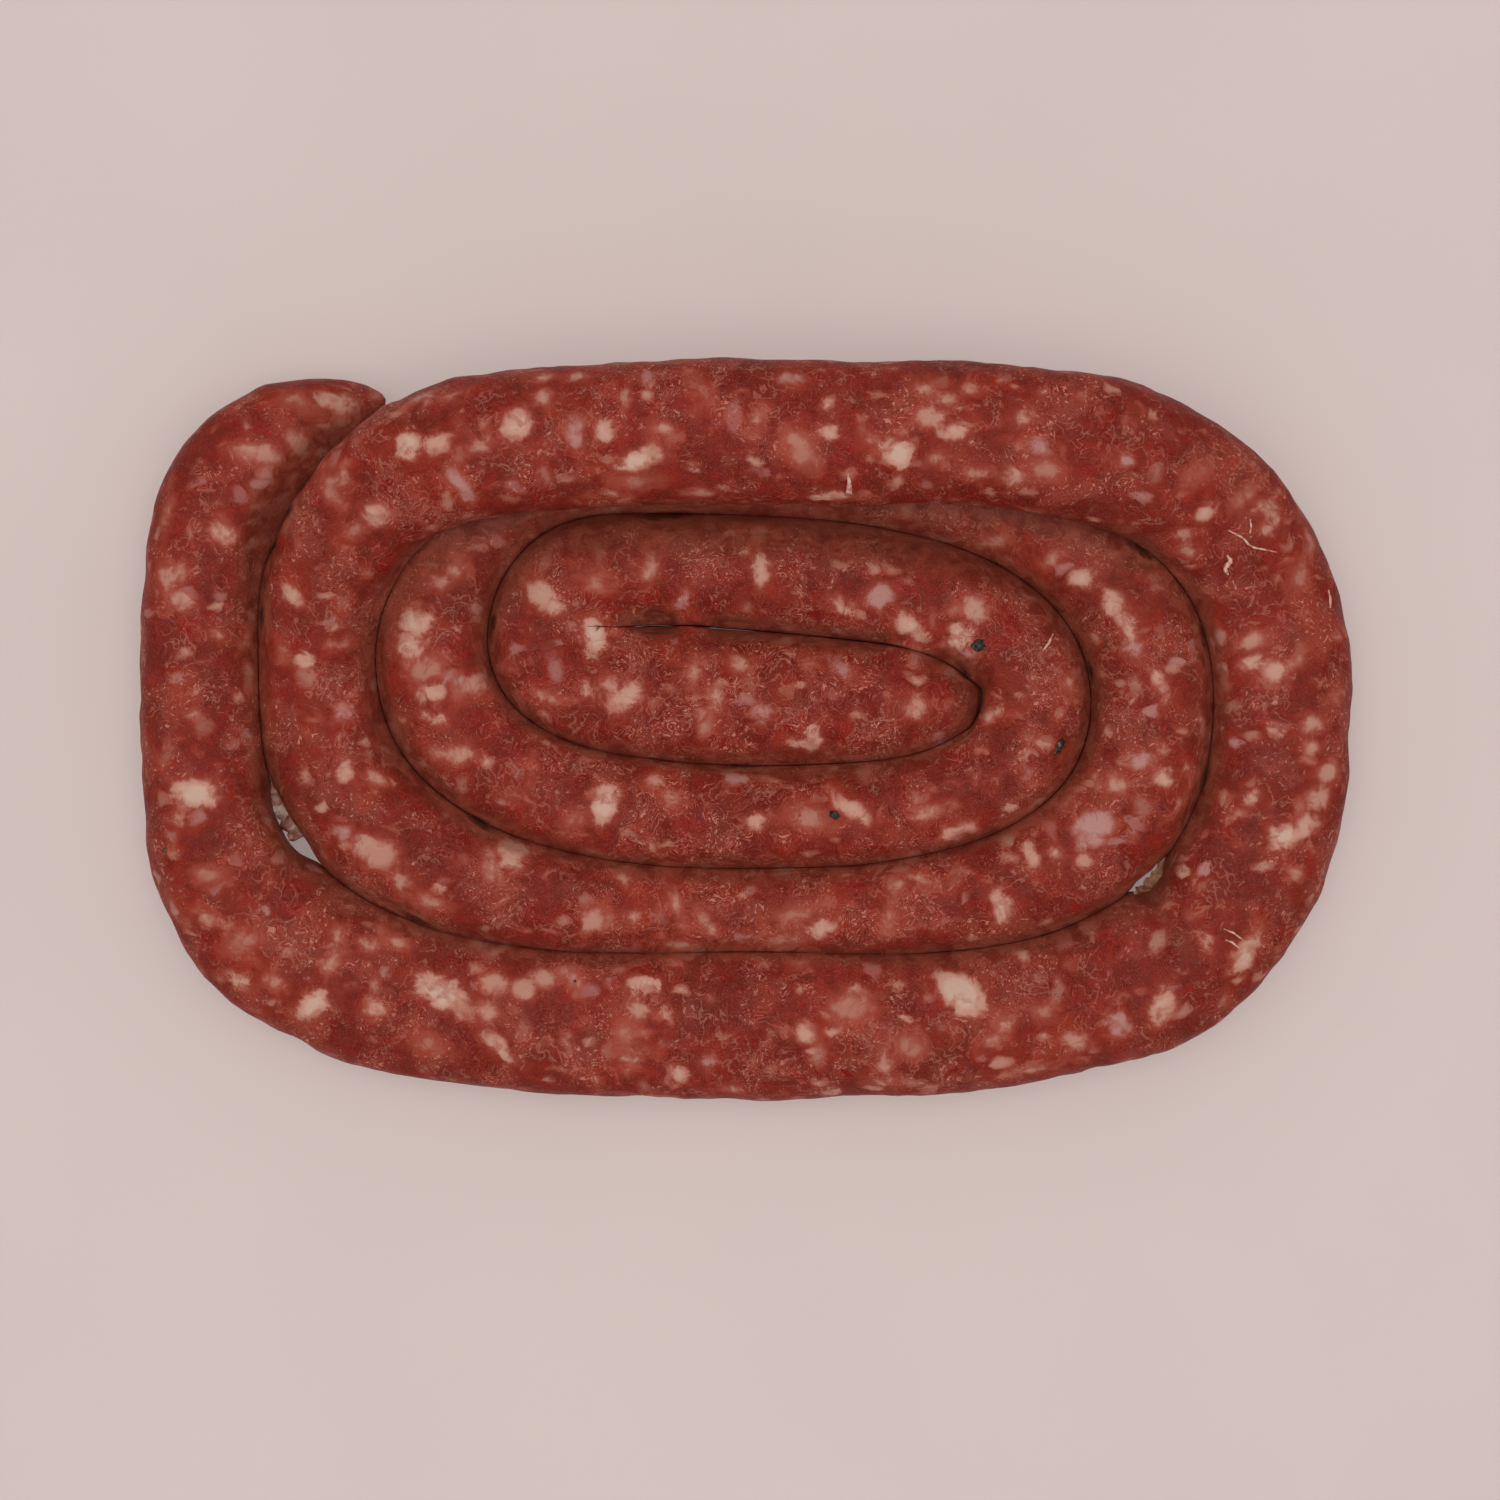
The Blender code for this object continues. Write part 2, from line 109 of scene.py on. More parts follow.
SEEN_FAT: dict[tuple[Edge, Tint], tuple[tuple[float, ...], ...]] = {
    # The left side, from the cut end down to the front corner.
    (Edge.CRISP, Tint.CREAM): (
        (-98, 38, 5, 3, -35, 0.6), (-99, 19, 2.5, 1.8, -30, 0.8), (-85, 26, 4.5, 2.4, -50, 0.8),
        (-82.5, 14, 3.2, 2, 10, 0.9), (-68.5, 40.5, 5, 4, 35, 0.8), (-62, 53, 4.5, 4, 0, 1),
        (-56.5, 53.5, 5, 3, 10, 0.7), (-62, 21.5, 5.5, 3.6, 0, 1), (-63, 16.5, 5, 3.5, -20, 0.9),
        (-59, 8, 4.5, 2.4, 10, 0.9), (-59, 3.5, 4.5, 1.8, -5, 0.9), (-103, -11, 9, 4, -5, 1),
        (-106, -15.5, 2.6, 2, 0, 0.8), (-75, -7, 3.6, 2.6, -70, 0.8), (-95.5, -46.5, 4.6, 2.3, -25, 0.9),
        (-81.5, -51, 7.5, 4.2, 45, 0.95), (-69.5, -51.5, 2.6, 1.8, 10, 0.8), (-57.5, -48.5, 10, 5.5, -25, 0.9),
        (-53, -51.5, 5, 3, -50, 0.7), (-46.5, -58.5, 7.5, 2.8, -55, 0.8), (-43.5, -21.5, 5, 4.8, -20, 0.7),
        # The raised back run.
        (-41.5, 57, 5.5, 4.6, 60, 0.8), (-26, 55.5, 2.8, 2.6, 0, 0.8), (-20, 50, 6, 3.6, 15, 1),
        (15.5, 61, 2.5, 1.6, 60, 0.7), (15, 55.5, 2.4, 1.8, 10, 0.8), (28, 51.5, 5, 4.2, -20, 1),
        (38.5, 56, 5, 2.2, 15, 0.8), (16.5, 44, 6.5, 2.2, 0, 0.9), (3, 41.5, 5.5, 2.2, 0, 0.9),
        (51, 58.5, 2.4, 1.8, 20, 0.7), (50, 53, 1.8, 1.5, 0, 0.6),
        # The inner turns.
        (-38.5, 26.5, 5, 3.5, -50, 0.7), (-35.5, 24.5, 3, 2.6, -80, 0.8), (-28.5, 18.5, 5.6, 3.8, -80, 1),
        (-30, 8.5, 2.6, 2.2, 0, 0.7), (-22.5, 7, 6.5, 4, 40, 0.65), (3, 31, 5.5, 2.2, 80, 0.8),
        (18.5, 23.5, 2.2, 1.5, -20, 0.9), (31.5, 20, 6.5, 3.2, -35, 0.9), (40.5, 18.5, 5, 4, 30, 1),
        (46, 4, 4, 2.2, 0, 0.7), (12.5, -1, 5.5, 2.6, 85, 0.9), (10.5, -1.5, 3.5, 1.6, 10, 0.8),
        (-26.5, -13, 7, 4.4, 65, 0.9), (2, -16, 2.8, 2.2, -20, 0.7), (20, -14, 7.5, 2.6, -35, 0.7),
        (39.5, -18.5, 3.6, 2.6, 10, 0.8), (-21, -34, 1.6, 1.5, 0, 0.7), (14, -36.5, 5, 2.8, 30, 0.8),
        (48, -32, 5.6, 3.6, -70, 0.9), (53.5, -22.5, 4.6, 2, -70, 0.7), (57.5, -22, 1.8, 1.5, 0, 0.7),
        # The right side and the front run.
        (85.5, 41.5, 4.6, 2.6, 30, 0.8), (63, 29.5, 4, 2.8, 10, 0.8), (69, 24.5, 4.5, 3, -50, 0.8),
        (71.5, 21, 5.5, 2.6, -60, 0.9), (77, 11, 3.4, 2, -60, 0.6), (78.5, 8.5, 3.2, 1.5, 80, 0.6),
        (95.5, 13.5, 4.2, 2.2, 10, 0.8), (99.5, 12, 4.6, 3.2, 20, 0.7), (78.5, -8, 3, 2.5, 30, 0.8),
        (95, -11.5, 2.6, 2, 30, 0.8), (101, -19, 5, 4.6, 30, 1), (105, -17.5, 6, 3.6, 25, 0.7),
        (94.5, -41, 8, 4, 65, 0.8), (86.5, -38.5, 3.6, 1.6, -60, 0.7), (78.5, -51, 6, 3.6, 80, 0.8),
        (52.5, -41.5, 2.4, 2, 0, 0.7), (40.5, -48.5, 10.5, 6.2, -45, 0.9), (20.5, -48, 3, 1.8, 65, 0.6),
        (11, -56, 3.6, 2.8, -30, 0.6), (-12.5, -64, 3, 2, -25, 0.8), (-15, -52.5, 2.4, 1.2, -70, 0.8),
        (-19, -47, 5.6, 3.5, 0, 0.9), (-44, -24, 3, 3, 0, 0.6),
    ),
    (Edge.SOFT, Tint.CREAM): (
        (-77.5, 63, 8.5, 3.5, -5, 0.8), (-92, 53, 9, 3.2, -12, 0.6), (-84, 55, 6.5, 2.8, -50, 0.6),
        (-108.5, 29, 5.5, 2.8, -60, 0.6), (-106, 25, 4, 3.2, -30, 0.7), (-109, 41, 5, 1.5, 80, 0.4),
        (-76.5, 17, 3.6, 1.6, 5, 0.6), (-55, 31, 4, 2.4, 10, 0.6), (-57.5, 29, 3.4, 2, 0, 0.6),
        (-50, 10, 9, 3, 30, 0.6), (-69.5, -22, 7.5, 6, -10, 0.5), (-71, -21, 4.5, 4, 0, 0.8),
        (-64.5, -27.5, 2.6, 2.2, 0, 0.6), (-88.5, -46.5, 4, 3, -30, 0.5), (-77.5, -42.5, 5, 2.5, 50, 0.5),
        (-47.5, -47, 4.6, 4.6, 0, 0.6), (-41.5, -48, 4, 4, 0, 0.6), (-48, -24.5, 7, 3, -75, 0.6),
        (-53.5, -3.5, 4.6, 3.5, 0, 0.5), (-57.5, -4, 4, 1.8, -20, 0.5), (-74.5, 47.5, 4.4, 2, -50, 0.6),
        (-37, 66, 4, 2, 5, 0.6), (-37, 62, 4, 2.6, 70, 0.5), (-16.5, 51.5, 3, 3, 0, 0.5),
        (-15, 56, 3.6, 1.8, -20, 0.6), (-25.5, 44.5, 4.4, 1.5, -5, 0.6), (-8, 44.5, 5, 1.8, 5, 0.5),
        (33, 63.5, 5, 2, -60, 0.5), (36, 61.5, 4.4, 2.6, 20, 0.6), (34, 58.5, 5, 3.6, 20, 0.6),
        (35.5, 51, 4.6, 1.8, 5, 0.6), (43, 48, 5, 2, 5, 0.5), (49.5, 47.5, 5.6, 3, 5, 0.8),
        (41, 63.5, 2.8, 2, 0, 0.5), (-18, 31.5, 6, 1.8, 75, 0.6), (-25.5, 9.5, 5, 2, 10, 0.6),
        (-6, 7, 4, 3, -70, 0.5), (32, 5, 5.6, 4, 10, 0.6), (43, 23.5, 5, 4.2, -20, 0.7),
        (-1, 13, 3.6, 2.4, -30, 0.5), (-10, 11.5, 4.4, 2, 80, 0.5), (35, -14.5, 6.6, 2.8, 15, 0.6),
        (-13.5, -12, 3.6, 2.5, 0, 0.6), (-28.5, -35, 5, 4, 60, 0.5), (8, -38.5, 8, 2.2, 15, 0.5),
        (-38.5, -46, 4.6, 3, 0, 0.6), (-32.5, -46, 5.4, 2.4, -50, 0.5), (-20.5, -52, 3.6, 2.6, 0, 0.7),
        (-21.5, -61, 5.4, 2.4, 20, 0.6), (26, -62, 6, 2.2, 75, 0.5), (26.5, -65.5, 3.6, 2, 0, 0.7),
        (63.5, -23.5, 2.8, 2.5, 0, 0.7), (62, -58, 5, 3.6, -20, 0.6), (54, -63, 8.5, 1.8, 12, 0.6),
        (107.5, -12, 4.2, 3.8, 0, 0.7), (109.5, -7, 4.6, 3.6, 20, 0.5), (106.5, -2.5, 3, 2.6, 0, 0.5),
        (106.5, 2, 3.4, 2.6, 0, 0.5), (111, 7, 2.8, 2.6, 0, 0.5), (89, 18, 4.4, 3.2, 30, 0.6),
        (95, 17.5, 5, 3, 20, 0.5), (103.5, 14, 3.6, 1.5, 40, 0.5), (76.5, 29.5, 4.6, 2, -5, 0.5),
        (81, 37.5, 3, 1.8, -10, 0.6), (82.5, 34.5, 2.8, 2, -70, 0.6), (46.5, 36.5, 5, 2.5, 20, 0.4),
        (103.5, -26.5, 3, 1.8, -40, 0.6), (81, -23.5, 3.6, 1.6, 60, 0.6), (41.5, -17.5, 3.4, 2.6, 0, 0.5),
        (-94, 18, 2.2, 1.4, 30, 0.5), (-106, 30.5, 3.6, 1.6, -70, 0.4), (-2, -67, 5, 1.5, 0, 0.7),
        (28.5, -28, 2.4, 2.2, 0, 0.6), (12, 13, 2.8, 1.6, 60, 0.5), (61, 9.5, 3.2, 2, 70, 0.5),
        (-77, -38, 3, 1.8, 60, 0.5), (-71, -39.5, 3.2, 2.2, 10, 0.5), (23, 54, 1.8, 1.6, 0, 0.6),
    ),
    (Edge.SOFT, Tint.PINK): (
        (96.9, 42.8, 3.4, 1.9, 5, 0.9), (99.4, 40.8, 3.6, 1.8, -78, 0.9), (97.4, 38.3, 2.8, 1.7, 20, 0.85),
        (-42.3, -12, 3.0, 0.4, -20, 0.7), (-40.5, -8, 3.4, 0.2, 80, 0.7), (83, -6, 3.4, 0.3, -60, 0.8),
        (83.5, -9.5, 2.4, 0.3, -90, 0.8), (81.5, -13, 3.0, 0.5, 50, 0.8),
        (-60, -31.5, 6, 2.5, -5, 0.4), (-102, -34.5, 5, 2.2, -20, 0.5), (-69.5, -8, 5, 2, 0, 0.5),
        (-48.5, 53, 5, 2, 20, 0.6), (-87, 16, 3, 1.4, -70, 0.5), (-31, 66, 4, 2, 0, 0.5),
        (-53.5, 62.5, 4.4, 1.6, 15, 0.4), (-24, 41.5, 4.6, 1.8, -10, 0.5), (9, 54, 6, 4, -30, 0.1),
        (57.5, 33, 3.4, 2, 40, 0.5), (69.5, -9.5, 4.2, 2.6, -10, 0.5), (56, -12, 8, 2, 35, 0.5),
        (48.5, -54.5, 5, 2, 55, 0.5), (-49, -52, 4.6, 2.8, -30, 0.6), (-66, -39, 5, 2.5, -20, 0.3),
        (33, -27, 5.4, 2.2, -20, 0.5), (-23, -27, 3.4, 2.4, -30, 0.5), (-12.5, -39.5, 4.6, 1.5, 0, 0.5),
        (11.5, -43, 3.4, 1.8, -10, 0.3), (-37.5, 7, 5, 2.2, -10, 0.5), (17, 25.5, 2.6, 1.8, 0, 0.5),
        (-7.5, -35, 7, 1.8, -65, 0.3), (27, -34, 7, 1.6, 78, 0.3), (-60, -58, 6, 2.6, -10, 0.3),
        (-13, -32, 8, 1.8, -70, 0.3), (46.5, -57.5, 4.4, 2, 20, 0.4), (2, 58, 3.6, 1.8, 75, 0.4),
    ),
    (Edge.SOFT, Tint.LILAC): (
        (-31, 55.5, 4.6, 2.2, -85, 0.5), (-59.5, 62.5, 3.6, 2, 10, 0.6), (-52.5, 46, 6, 2, -60, 0.5),
        (-75, 4.5, 4, 2, 20, 0.4), (25, 26, 4.4, 3.8, 60, 0.8), (3, 4, 2.8, 2.6, 0, 0.8),
        (-2, -8, 3.4, 2.8, 0, 0.6), (65, -17.5, 7.6, 6, 50, 0.9), (74, -5, 4.6, 2.5, -10, 0.5),
        (54, 52.5, 3.6, 2.6, 0, 0.4), (69.5, 50.5, 4, 1.5, -5, 0.6), (73, 16.5, 3.2, 2.2, 0, 0.7),
        (70, -54.5, 5, 4, -30, 0.6), (-54.5, 10.5, 3.2, 1.8, -20, 0.5), (8, 65.5, 3.6, 2.4, 0, 0.5),
        (41.5, 15.5, 3, 1.5, 20, 0.6), (-108, -33, 3.4, 2, -50, 0.4), (-7, -61.5, 3.4, 2.6, 60, 0.4),
        (17.5, 13.5, 4.6, 2, -60, 0.3), (-12, 25, 2.8, 1.5, 70, 0.5), (-76, -18.5, 2.4, 1.8, 0, 0.4),
    ),
    (Edge.SUNKEN, Tint.CREAM): (
        (-84.5, 63, 7, 3.5, -20, 0.1), (-77, 45.5, 8, 3, -50, 0.2), (-72, 38, 6, 3, 30, 0.2),
        (-60, 12.5, 8, 5, 20, 0.2), (-95, -39, 7.5, 4.5, 25, 0.1), (-101, -26.5, 6, 3.5, 0, 0.1),
        (-8, 63.5, 6, 2.8, -60, 0.2), (10.5, 51, 7, 4, -30, 0.1), (55, 48.5, 6, 4, 0, 0.2),
        (83.5, 48, 7, 3, 30, 0.1), (104, 30, 6, 4, 60, 0.1), (-31.5, -16, 5.5, 3, 30, 0.2),
        (31, -58.5, 5, 5, 0, 0.1), (12, -15.5, 8, 4, -10, 0.2), (56, -52, 4.5, 2.8, -20, 0.2),
        (-28, 29, 6, 3.5, -30, 0.1), (20, -51, 9, 6, 0, 0.1), (-22.5, -56.5, 7, 4, 70, 0.1),
        (93, 44.5, 7, 3, 35, 0.2), (-20, 46.5, 9, 3.5, 0, 0.1), (9.5, -34, 9, 3.5, 20, 0.1),
    ),
}


class Graph:
    """The nodes of one material, added in the order in which they are wired."""

    def __init__(self, name: str) -> None:
        """Start an empty material.

        Args:
            name: The material's name.
        """
        self.material = bpy.data.materials.new(name)
        self.material.use_nodes = True
        self.tree = self.material.node_tree
        self.tree.nodes.clear()

    def add(self, kind: str, **settings: object) -> bpy.types.Node:
        """Add one node.

        Args:
            kind: Blender's name of the node type.
            **settings: Properties to set on it.

        Returns:
            The new node.
        """
        node = self.tree.nodes.new(kind)
        for key, value in settings.items():
            setattr(node, key, value)
        return node

    def feed(self, socket: bpy.types.NodeSocket, value: object) -> None:
        """Link a socket to an output, or set it to a plain value."""
        if isinstance(value, bpy.types.NodeSocket):
            self.tree.links.new(value, socket)
        else:
            socket.default_value = value

    def millimetres(self) -> bpy.types.NodeSocket:
        """Give the place on the piece in millimetres."""
        place = self.add("ShaderNodeTexCoord").outputs["Object"]
        return self.vector("SCALE", place, scale=1000.0)

    def mark(self, name: str) -> tuple[bpy.types.NodeSocket, ...]:
        """Give the three numbers that the mesh carries under a name."""
        node = self.add("ShaderNodeAttribute", attribute_name=name)
        parts = self.add("ShaderNodeSeparateXYZ")
        self.feed(parts.inputs[0], node.outputs["Vector"])
        return tuple(parts.outputs)

    def math(self, operation: str, first: object, second: object = 0.0,
             third: object = 0.0, clamp: bool = False) -> bpy.types.NodeSocket:
        """Combine numbers.

        Args:
            operation: Blender's name of the operation.
            first: First number or output.
            second: Second number or output.
            third: Third number or output.
            clamp: Whether to keep the result between 0 and 1.

        Returns:
            The result's output.
        """
        node = self.add("ShaderNodeMath", operation=operation, use_clamp=clamp)
        self.feed(node.inputs[0], first)
        self.feed(node.inputs[1], second)
        self.feed(node.inputs[2], third)
        return node.outputs[0]

    def vector(self, operation: str, first: object, second: object = (0.0, 0.0, 0.0),
               scale: object = 1.0) -> bpy.types.NodeSocket:
        """Combine vectors.

        Args:
            operation: Blender's name of the operation.
            first: First vector or output.
            second: Second vector or output.
            scale: Factor, for a scale operation.

        Returns:
            The result's output.
        """
        node = self.add("ShaderNodeVectorMath", operation=operation)
        self.feed(node.inputs[0], first)
        self.feed(node.inputs[1], second)
        if operation == "SCALE":
            self.feed(node.inputs["Scale"], scale)
        return node.outputs["Vector"]

    def turned(self, place: object, rotation: Triple, scale: Triple,
               offset: Triple = (0.0, 0.0, 0.0)) -> bpy.types.NodeSocket:
        """Turn and stretch a pattern's coordinates.

        Args:
            place: Coordinates.
            rotation: Turn about each axis, in radians.
            scale: Factor along each axis.
            offset: Shift after turning.

        Returns:
            The new coordinates.
        """
        node = self.add("ShaderNodeMapping")
        self.feed(node.inputs["Vector"], place)
        node.inputs["Rotation"].default_value = rotation
        node.inputs["Scale"].default_value = scale
        node.inputs["Location"].default_value = offset
        return node.outputs[0]

    def swung(self, place: object, axis: object, angle: object) -> bpy.types.NodeSocket:
        """Turn coordinates about an axis that changes from place to place.

        Args:
            place: Coordinates.
            axis: Axis to turn about.
            angle: Turn in radians.

        Returns:
            The turned coordinates.
        """
        node = self.add("ShaderNodeVectorRotate", rotation_type="AXIS_ANGLE")
        self.feed(node.inputs["Vector"], place)
        self.feed(node.inputs["Axis"], axis)
        self.feed(node.inputs["Angle"], angle)
        return node.outputs[0]

    def noise(self, place: object, size: float, detail: float = 2.0, rough: float = 0.5,
              distortion: float = 0.0) -> bpy.types.Node:
        """Add a noise pattern.

        Args:
            place: Coordinates in millimetres.
            size: Millimetres from one blotch to the next.
            detail: Octaves.
            rough: Strength of the finer octaves.
            distortion: Swirl.

        Returns:
            The noise node.
        """
        node = self.add("ShaderNodeTexNoise", noise_dimensions="3D")
        self.feed(node.inputs["Vector"], place)
        node.inputs["Scale"].default_value = 1.0 / size
        node.inputs["Detail"].default_value = detail
        node.inputs["Roughness"].default_value = rough
        node.inputs["Distortion"].default_value = distortion
        return node

    def warped(self, place: object, size: float, reach: float, detail: float = 1.5) -> bpy.types.NodeSocket:
        """Push coordinates about.

        Args:
            place: Coordinates in millimetres.
            size: Millimetres from one push to the next.
            reach: Largest push in millimetres, roughly.
            detail: Octaves.

        Returns:
            The pushed coordinates.
        """
        push = self.vector("SUBTRACT", self.noise(place, size, detail).outputs["Color"], (0.5, 0.5, 0.5))
        return self.vector("ADD", place, self.vector("SCALE", push, scale=2.0 * reach))

    def cells(self, place: object, size: float) -> bpy.types.Node:
        """Add a pattern of cells, each with its own random colour.

        Args:
            place: Coordinates in millimetres.
            size: Millimetres from one cell to the next.

        Returns:
            The cell node.
        """
        node = self.add("ShaderNodeTexVoronoi", voronoi_dimensions="3D", feature="F1")
        self.feed(node.inputs["Vector"], place)
        node.inputs["Scale"].default_value = 1.0 / size
        return node

    def ease(self, value: object, low: object, high: object, start: float = 0.0,
             end: float = 1.0) -> bpy.types.NodeSocket:
        """Ease a number from one level to another.

        Args:
            value: Number to read.
            low: Where the change begins.
            high: Where it ends.
            start: Result below the change.
            end: Result above it.

        Returns:
            The eased number.
        """
        node = self.add("ShaderNodeMapRange", interpolation_type="SMOOTHSTEP")
        self.feed(node.inputs["Value"], value)
        self.feed(node.inputs["From Min"], low)
        self.feed(node.inputs["From Max"], high)
        self.feed(node.inputs["To Min"], start)
        self.feed(node.inputs["To Max"], end)
        return node.outputs["Result"]

    def blend(self, share: object, under: object, over: object,
              mode: str = "MIX") -> bpy.types.NodeSocket:
        """Lay one colour over another.

        Args:
            share: How much of the upper colour shows.
            under: Lower colour.
            over: Upper colour.
            mode: Blender's name of the blend.

        Returns:
            The mixed colour.
        """
        node = self.add("ShaderNodeMix", data_type="RGBA", blend_type=mode)
        self.feed(node.inputs["Factor"], share)
        self.feed(node.inputs[6], under)
        self.feed(node.inputs[7], over)
        return node.outputs[2]

    def ramp(self, value: object, stops: tuple[tuple[float, Triple], ...]) -> bpy.types.NodeSocket:
        """Turn a number into a colour.

        Args:
            value: Number from 0 to 1.
            stops: Places on the scale and their display colours.

        Returns:
            The colour.
        """
        node = self.add("ShaderNodeValToRGB")
        self.feed(node.inputs[0], value)
        bar = node.color_ramp
        bar.interpolation = "EASE"
        while len(bar.elements) < len(stops):
            bar.elements.new(0.5)
        for element, (place, colour) in zip(bar.elements, stops):
            element.position = place
            element.color = srgb(*colour)
        return node.outputs[0]

    def split(self, colour: object) -> tuple[bpy.types.NodeSocket, ...]:
        """Give the red, green and blue outputs of a colour."""
        node = self.add("ShaderNodeSeparateColor")
        self.feed(node.inputs[0], colour)
        return tuple(node.outputs)

    def finish(self, colour: object, roughness: object, height: object = None,
               depth: float = 0.0003, **constants: object) -> bpy.types.Material:
        """Wire the shader.

        Args:
            colour: Base colour.
            roughness: Roughness.
            height: Relief from 0 to 1, or None.
            depth: What a relief of 1 stands for, in metres.
            **constants: Other shader sockets by name, with underscores for spaces.

        Returns:
            The finished material.
        """
        shader = self.add("ShaderNodeBsdfPrincipled")
        self.feed(shader.inputs["Base Color"], colour)
        self.feed(shader.inputs["Roughness"], roughness)
        for key, value in constants.items():
            self.feed(shader.inputs[key.replace("_", " ")], value)
        if height is not None:
            bump = self.add("ShaderNodeBump")
            bump.inputs["Distance"].default_value = depth
            self.feed(bump.inputs["Height"], height)
            self.feed(shader.inputs["Normal"], bump.outputs[0])
        output = self.add("ShaderNodeOutputMaterial")
        self.feed(output.inputs["Surface"], shader.outputs[0])
        return self.material


@dataclass(frozen=True)
class FatGrain:
    """One size of fat piece scattered through the meat.

    Attributes:
        spacing: Millimetres from one possible piece to the next.
        share: Share of those places that hold one.
        radius: Largest radius in millimetres.
        stretch: Coordinate factors, which make pieces longer one way.
        turn: Turn of the pattern in radians.
        edge: How clearly the pieces show.
        strength: How strongly they cover the meat.
        pale: How pale they are at most, from 0 to 1.
        hidden: Whether they lie only where the skin faces sideways or down, which the listed large pieces,
            laid on the upper side, mostly leave bare.
    """

    spacing: float
    share: float
    radius: float
    stretch: Triple
    turn: Triple
    edge: Edge
    strength: float
    pale: float = 1.0
    hidden: bool = False


